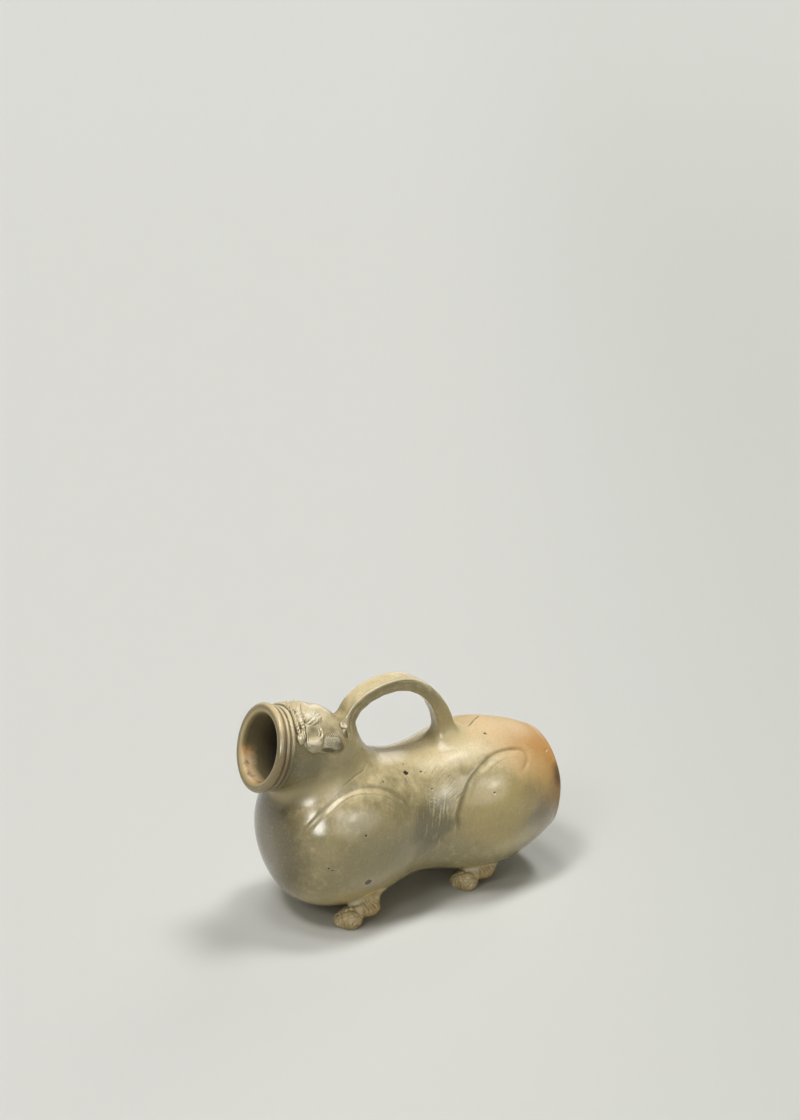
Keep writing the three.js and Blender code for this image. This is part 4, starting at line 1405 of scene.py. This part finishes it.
# %% Where a place is
class Place:
    """What the glaze asks about a place on the jug, in millimetres."""

    def __init__(self, tree):
        metres = Wire(tree.nodes.new("ShaderNodeTexCoord").outputs["Object"])
        self.spot = metres.node("ShaderNodeVectorMath", {"operation": "SCALE"}, {0: metres, "Scale": 1 / MM})
        self.x, self.y, self.z = (
            self.spot.node("ShaderNodeSeparateXYZ", {}, {0: self.spot}, axis) for axis in range(3)
        )
        above = self.z - AXIS_Z
        self.round = FLANK_RADIUS * self.x.maths("ARCTAN2", self.x, above)
        from_axis = self.x.node("ShaderNodeCombineXYZ", {}, {0: self.x, 1: above})
        self.off_axis = vectors("LENGTH", from_axis, (0, 0, 0), "Value")
        self.flat = self.y.node("ShaderNodeCombineXYZ", {}, {0: self.y, 1: self.round})
        self.both = self.y.node("ShaderNodeCombineXYZ", {}, {0: self.y, 1: abs(self.round)})
        normal = Wire(tree.nodes.new("ShaderNodeNewGeometry").outputs["Normal"])
        self.facing_up = normal.node("ShaderNodeSeparateXYZ", {}, {0: normal}, 2)
        from_mouth = vectors("SUBTRACT", self.spot, tuple(MOUTH))
        self.in_bore = vectors("DOT_PRODUCT", from_mouth, (0, math.cos(TILT), -math.sin(TILT)), "Value")
        self.above_bore = vectors("DOT_PRODUCT", from_mouth, (0, math.sin(TILT), math.cos(TILT)), "Value")


def frayed(flat, spread, size):
    """A place that is moved about by noise, so that edges drawn there fray."""
    jitter = vectors("SUBTRACT", clouds(flat, size, 1.0, 0.6, "Color"), (0.5, 0.5, 0.5))
    return vectors("ADD", flat, vectors("MULTIPLY", jitter, (spread, spread, 0.0)))


print("a place has x, y, z, its spot on the unrolled flank, and how far it faces up")

# %% Broad colour
def handle_foot(place):
    """Round the rear foot of the handle the glaze is duller and paler."""
    return oval(place.both, (43.0, 11.0), (12.0, 11.0))


def broad_colour(place, mottle, cloud):
    """Celadon with its tints, its ashy cream on what faces up that is partly painted light, its scorched
    tail, and how scorched it is.
    """
    colour = blended(rise(mottle, 0.34, 0.62), DEEP, CELADON)
    colour = blended(0.45 * rise(cloud, 0.46, 0.74), colour, PALE)
    soft = frayed(place.both, 26.0, 22.0)
    for tint, share, (y, degrees), size in TINTS:
        colour = blended(share * oval(soft, (y, degrees), size), colour, tint)
    colour = blended(0.95 * rise(place.y + 8.0 * (cloud - 0.5), -88.0, -102.0), colour, CHEST_END)
    # Ash and painted light: what faces up is made paler and creamier, as light from above makes it.
    ash_and_top_light = rise(place.facing_up + 0.5 * (cloud - 0.5) + 0.5 * (mottle - 0.5), 0.5, 1.0)
    colour = blended(0.85 * ash_and_top_light, colour, ASH_AND_TOP_LIGHT)
    # The top of the handle is made paler: ash and a painted sheen.
    top = 0.7 * rise(place.z, 146.0, 164.0) * rise(place.facing_up, 0.3, 0.9)
    colour = blended(top, colour, HANDLE_TOP_ASH_AND_SHEEN)
    fire = place.y + 0.95 * (place.z - AXIS_Z) + 34.0 * (mottle - 0.5) + 12.0 * (cloud - 0.5)
    fire = rise(place.y, 34.0, 58.0) * (fire - 97.0)
    tan = rise(fire, 0.0, 26.0)
    colour = blended(0.9 * tan, colour, blended(rise(place.facing_up, 0.35, 0.85), TAN, PEACH))
    colour = blended(0.85 * rise(fire, 14.0, 46.0) * rise(place.facing_up, 0.99, 0.8), colour, ORANGE)
    colour = blended(0.6 * handle_foot(place), colour, FOOT_PALE)
    edge = frayed(place.flat, 6.0, 6.0)
    at_rim = rise(place.off_axis + 4.0 * (cloud - 0.5), 34.0, 39.0)
    colour = blended(0.6 * at_rim * oval(edge, (116.0, 80.0), (10.0, 26.0)), colour, BROWN_EDGE)
    return blended(0.9 * at_rim * oval(edge, (118.5, 66.0), (6.5, 13.0)), colour, SCORCH), tan


print("broad colour: celadon,", len(TINTS), "tints, ash and a scorched tail")

# %% Fine colour and bump
def swapped(place):
    """The place round the jug as a first coordinate, to lean runs with."""
    return place.y.node("ShaderNodeCombineXYZ", {}, {0: abs(place.round)})


def fine_marks(place, cloud):
    """Pale and dark shares, and a height in millimetres, from what is small in the glaze."""
    grain = clouds(place.spot, 1.5, 3.0, 0.7)
    leaning = vectors("ADD", place.flat, vectors("MULTIPLY", swapped(place), (0.22, 0.0, 0.0)))
    hairs = clouds(vectors("MULTIPLY", leaning, (1.0, 0.11, 1.0)), 1.2, 2.0, 0.6)
    hairs = 0.5 + 0.6 * (hairs - 0.5) * rise(place.z, 128.0, 112.0) * rise(place.off_axis, 24.0, 46.0)
    speck = cells(place.spot, 2.3, "F1", "Distance")
    chosen = Wire(speck.socket.node.outputs["Color"])
    chosen = chosen.node("ShaderNodeSeparateColor", {}, {0: chosen})
    speck = rise(speck, 0.24, 0.10) * rise(chosen, 0.6, 0.7)
    dust = rise(cells(place.spot, 5.2, "F1", "Distance"), 0.075, 0.035)
    wavy = vectors("ADD", place.spot, clouds(place.spot, 3.0, 1.0, 0.5, "Color"))
    craze = rise(cells(wavy, 3.4, "DISTANCE_TO_EDGE", "Distance"), 0.035, 0.0)
    pale = 0.1 * speck + 0.45 * rise(grain, 0.5, 0.78) + 0.6 * rise(hairs, 0.52, 0.76)
    dark = 0.5 * dust + 0.6 * rise(grain, 0.5, 0.26) + 0.55 * rise(hairs, 0.48, 0.27) + 0.14 * craze
    height = 0.10 * cloud + 0.05 * grain + 0.05 * hairs + 0.01 * speck - 0.03 * craze - 0.05 * dust
    return pale, dark, height


def kiln_marks(place):
    """Shares of iron, of a pale ring round it and of runs, and of dark and pale along scratches."""
    flat = frayed(place.flat, 2.6, 1.7)
    iron = ring = dark = pale = None
    for y, degrees, size in SPOTS:
        core, halo = spot(flat, y, degrees, size), spot(flat, y, degrees, 1.9 * size)
        iron = core if iron is None else larger(iron, core)
        ring = halo if ring is None else larger(ring, halo)
    leaning = vectors("ADD", place.both, vectors("MULTIPLY", swapped(place), (0.24, 0.0, 0.0)))
    runs = clouds(vectors("MULTIPLY", leaning, (1.0, 0.13, 1.0)), 2.1, 2.0, 0.5)
    runs = rise(runs, 0.56, 0.66) * oval(place.both, RUNS_AT, RUNS_SIZE)
    dabs = rise(clouds(flat, 2.2, 1.0, 0.4), 0.55, 0.65) * oval(place.both, DABS_AT, DABS_SIZE)
    rough_edge = frayed(place.flat, 0.9, 2.4)
    for start, end, width in SCRATCHES:
        across, along = stroke(rough_edge, start, end)
        line = along * rise(abs(across), 1.2 * width, 0.5 * width)
        edge = along * rise(abs(across - 2.2 * width), 1.5 * width, 0.5 * width)
        dark = line if dark is None else larger(dark, line)
        pale = edge if pale is None else larger(pale, edge)
    broken = rise(clouds(flat, 2.4, 1.0, 0.5), 0.34, 0.52)
    return iron, ring, larger(runs, dabs), dark * broken, pale * broken


print("fine marks and", len(SPOTS) + len(SCRATCHES), "single marks")

# %% One glaze
FINISHES = {
    "celadon_glaze": {"marked": True, "gloss": 0.65, "rough": 0.14, "edges": 0.6, "pooled_and_shaded": 0.88},
    "scorched_glaze": {"marked": True, "gloss": 0.65, "rough": 0.14, "edges": 0.6, "pooled_and_shaded": 0.88},
    "relief_glaze": {"marked": False, "gloss": 0.9, "rough": 0.12, "edges": 0.9, "pooled_and_shaded": 0.88},
    "paw_clay": {"marked": False, "gloss": 0.3, "rough": 0.34, "edges": 0.6, "pooled_and_shaded": 0.5},
}


def glaze(name, marked, gloss, rough, edges, pooled_and_shaded):
    material = bpy.data.materials.new(name)
    material.use_nodes = True
    tree = material.node_tree
    shader = tree.nodes["Principled BSDF"]
    place = Place(tree)
    mottle, cloud = clouds(place.spot, 30.0, 3.0, 0.55), clouds(place.spot, 6.5, 4.0, 0.62)
    colour, tan = broad_colour(place, mottle, cloud)
    pale, dark, height = fine_marks(place, cloud)
    if name == "paw_clay":
        colour = blended(rise(cloud, 0.25, 0.65), PAW_DARK, PAW_LIGHT)
    if name == "relief_glaze":
        colour = blended(0.5 * rise(cloud, 0.2, 0.6), colour, RELIEF_PALE)
    colour = blended(0.62 * pale, colour, THIN)
    colour = blended(0.62 * dark, colour, DEEP)
    warm = mark_of(place.spot, "warm") * rise(cloud, 0.25, 0.6)
    colour = blended(0.85 * warm, colour, WARM_CLAY)
    if marked:
        iron, ring, runs, scratch, burr = kiln_marks(place)
        colour = blended(0.35 * ring, colour, SPOT_RING)
        colour = blended(0.5 * larger(runs, burr), colour, THIN)
        colour = blended(0.95 * iron, colour, IRON)
        colour = blended(0.6 * scratch, colour, POOLED_AND_SHADE)
        height = height + 0.08 * runs + 0.08 * burr - 0.14 * scratch - 0.12 * iron
    pool_and_shade, thin_and_highlight, bare = (mark_of(place.spot, mark) for mark in ("pool_and_shade", "thin_and_highlight", "bare"))
    pool_and_shade = pool_and_shade * (1 - 0.9 * handle_foot(place))
    # Pooled glaze darkens hollows; the same mark carries the painted shade of the face's dark patches, the
    # carved lines and the flake's edge.
    colour = blended(pooled_and_shaded * rise(pool_and_shade, 0.05, 0.52 if marked else 0.36), colour, POOLED_AND_SHADE)
    # Pale glaze where it is thinned over ridges; on the relief this is also a painted highlight, and the mark
    # carries the face's painted highlights.
    colour = blended(edges * rise(thin_and_highlight, 0.04, 0.45), colour, THIN if marked else RIDGE_AND_HIGHLIGHT)
    if name == "celadon_glaze":
        from_axis = place.x.node("ShaderNodeCombineXYZ", {}, {0: place.x, 1: place.above_bore})
        from_axis = vectors("LENGTH", from_axis, (0, 0, 0), "Value")
        rim = rise(from_axis, 28.6, 26.6) * rise(abs(place.in_bore - 1.2), 2.0, 0.8)
        colour = blended(0.25 * rise(place.in_bore, 13.0, 7.0), colour, LIP_TAN)
        colour = blended(0.75 * rim, colour, RIM_PALE)
    # Inside the mouth the bare clay is shown only on the lower wall near the lip, where light falls on it;
    # elsewhere dark glaze with painted shade, deepening to near black down the throat.
    low = place.above_bore + 0.45 * place.x + 12.0 * (cloud - 0.5)
    lit_bare_clay = rise(low, -15.0, -21.0) * rise(place.in_bore + 10.0 * cloud, 20.0, 11.0)
    clay = blended(rise(low, -25.0, -18.0), BARE_CLAY, BURNT_CLAY)
    dim = blended(rise(place.in_bore, 8.0, 30.0), INSIDE_GLAZE_AND_SHADE, THROAT_SHADE)
    inside = blended(lit_bare_clay * rise(cloud, 0.2, 0.55), dim, clay)
    colour = blended(bare, colour, inside)
    dull = larger(handle_foot(place), rise(pool_and_shade, 0.06, 0.28))
    bumps = height.node("ShaderNodeBump", {}, {"Strength": 1.0, "Distance": MM, "Height": height}, "Normal")
    roughness = rough + 0.18 * cloud + 0.06 * pale + 0.28 * tan + 0.4 * bare + 0.35 * warm + 0.25 * dull
    coat = gloss * (1 - 0.9 * tan) * (1 - bare) * (1 - 0.7 * warm) * (1 - 0.85 * dull)
    wires = {"Base Color": colour, "Roughness": roughness, "Coat Weight": coat, "Normal": bumps}
    for socket, wire in wires.items():
        tree.links.new(wire.socket, shader.inputs[socket])
    shader.inputs["Coat Roughness"].default_value = 0.2
    shader.inputs["Specular IOR Level"].default_value = 0.3
    print(name, "with", len(tree.nodes), "nodes")
    return material


GLAZES = {name: glaze(name, **finish) for name, finish in FINISHES.items()}

# %% [markdown]
# ## The stage
# The jug was photographed on a pale seamless sheet under soft boxes in a row over its length, with low
# ones in front, behind and at the side. The soft shadow that runs out to both ends on the floor and the
# highlights show where they stood. Suns with a wide disc do the same here, in two sets: lamps light
# what is matt and aren't mirrored, and cards are only mirrored, so that shadows and highlights can be set
# one without the other. The world gives little light, and is paler where the glaze mirrors it.

# %% Floor
SHEET_LEFT, SHEET_RIGHT = (0.715, 0.715, 0.675, 1), (0.64, 0.655, 0.605, 1)
SHEET_FAR, SHEET_BACK = (0.72, 0.73, 0.685, 1), (-0.877, 0.481, 0.0)
SHEET_HALF = 20

floor_mesh = bpy.data.meshes.new("floor")
corners = [(x * SHEET_HALF, y * SHEET_HALF, 0) for x, y in ((-1, -1), (1, -1), (1, 1), (-1, 1))]
floor_mesh.from_pydata(corners, [], [(0, 1, 2, 3)])
floor = bpy.data.objects.new("floor", floor_mesh)
bpy.context.scene.collection.objects.link(floor)

sheet = bpy.data.materials.new("pale_sheet")
sheet.use_nodes = True
shader = sheet.node_tree.nodes["Principled BSDF"]
metres = Wire(sheet.node_tree.nodes.new("ShaderNodeTexCoord").outputs["Object"])
rightwards = vectors("DOT_PRODUCT", metres, tuple(CAMERA_RIGHT), "Value")
backwards = vectors("DOT_PRODUCT", metres, SHEET_BACK, "Value")
# The sheet is painted darker to the right and paler far back: painted falloff of light across the floor.
sheet_colour = blended(rise(rightwards, -0.05, 0.45), SHEET_LEFT, SHEET_RIGHT)
sheet_colour = blended(0.6 * rise(backwards, 1.2, 4.0), sheet_colour, SHEET_FAR)
sheet.node_tree.links.new(sheet_colour.socket, shader.inputs["Base Color"])
shader.inputs["Roughness"].default_value = 1.0
shader.inputs["Specular IOR Level"].default_value = 0.0
floor_mesh.materials.append(sheet)
print("floor of", floor.dimensions.x, "m")

# %% Lamps and world
LIGHT = 0.95
WORLD_TINT, WORLD_LIGHT, WORLD_SHOWN = (1.0, 0.955, 0.87, 1), 0.062, 0.16
LAMPS = [
    ("overhead", 8, 82, 0.62, 11), ("over_tail", 184, 69, 1.2, 16), ("over_head", 22, 64, 1.0, 13),
    ("low_front", 34, 40, 0.36, 14), ("low_back", 214, 32, 0.26, 22), ("low_side", 62, 28, 0.14, 16),
]
CARDS = [
    ("overhead_card", 8, 82, 1.0, 22), ("tail_card", 182, 79, 0.5, 30), ("head_card", 28, 68, 0.8, 20),
    ("low_card", 30, 42, 0.22, 20), ("back_card", 221, 27, 0.36, 30), ("front_card", 33, 28, 2.4, 24),
    ("side_card", 99, 36, 0.3, 12), ("broad_card", 94, 30, 1.2, 48), ("shoulder_card", 78, 48, 0.2, 16),
]
for name, azimuth, elevation, strength, spread in LAMPS + CARDS:
    data = bpy.data.lights.new(name, "SUN")
    data.energy, data.angle = LIGHT * strength, math.radians(spread)
    lamp = bpy.data.objects.new(name, data)
    a, e = math.radians(azimuth), math.radians(elevation)
    towards = Vector((math.sin(a) * math.cos(e), -math.cos(a) * math.cos(e), math.sin(e)))
    lamp.rotation_mode = "QUATERNION"
    lamp.rotation_quaternion = towards.to_track_quat("Z", "Y")
    bpy.context.scene.collection.objects.link(lamp)
    card = name.endswith("_card")
    lamp.visible_diffuse, lamp.visible_glossy = not card, card

world = bpy.data.worlds.new("studio")
bpy.context.scene.world = world
world.use_nodes = True
background = world.node_tree.nodes["Background"]
background.inputs["Color"].default_value = WORLD_TINT
ray = Wire(world.node_tree.nodes.new("ShaderNodeLightPath").outputs["Is Glossy Ray"])
seen = ray.node("ShaderNodeLightPath", {}, {}, "Is Camera Ray")
through = ray.node("ShaderNodeLightPath", {}, {}, "Is Transmission Ray")
strength = WORLD_LIGHT + WORLD_SHOWN * larger(larger(ray, seen), through)
world.node_tree.links.new(strength.socket, background.inputs["Strength"])
bpy.context.scene.view_settings.view_transform = "Standard"
print(len(LAMPS), "lamps and", len(CARDS), "cards")

# %% [markdown]
# ## Put together
# Nothing on the jug moves, so every piece rides on the one body. Each takes the place of its node in
# the frame and the finish of that node's slot.

# %% Ride and replace
SLOTS = {part["node"]: part["material_slot"] for part in frame["record"]["subparts"]}
for node, piece in PIECES.items():
    piece.data.materials.append(GLAZES[SLOTS[node]])
    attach(piece, "root")
    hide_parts(node)
print(len(PIECES), "pieces take the place of", len(SLOTS), "nodes")
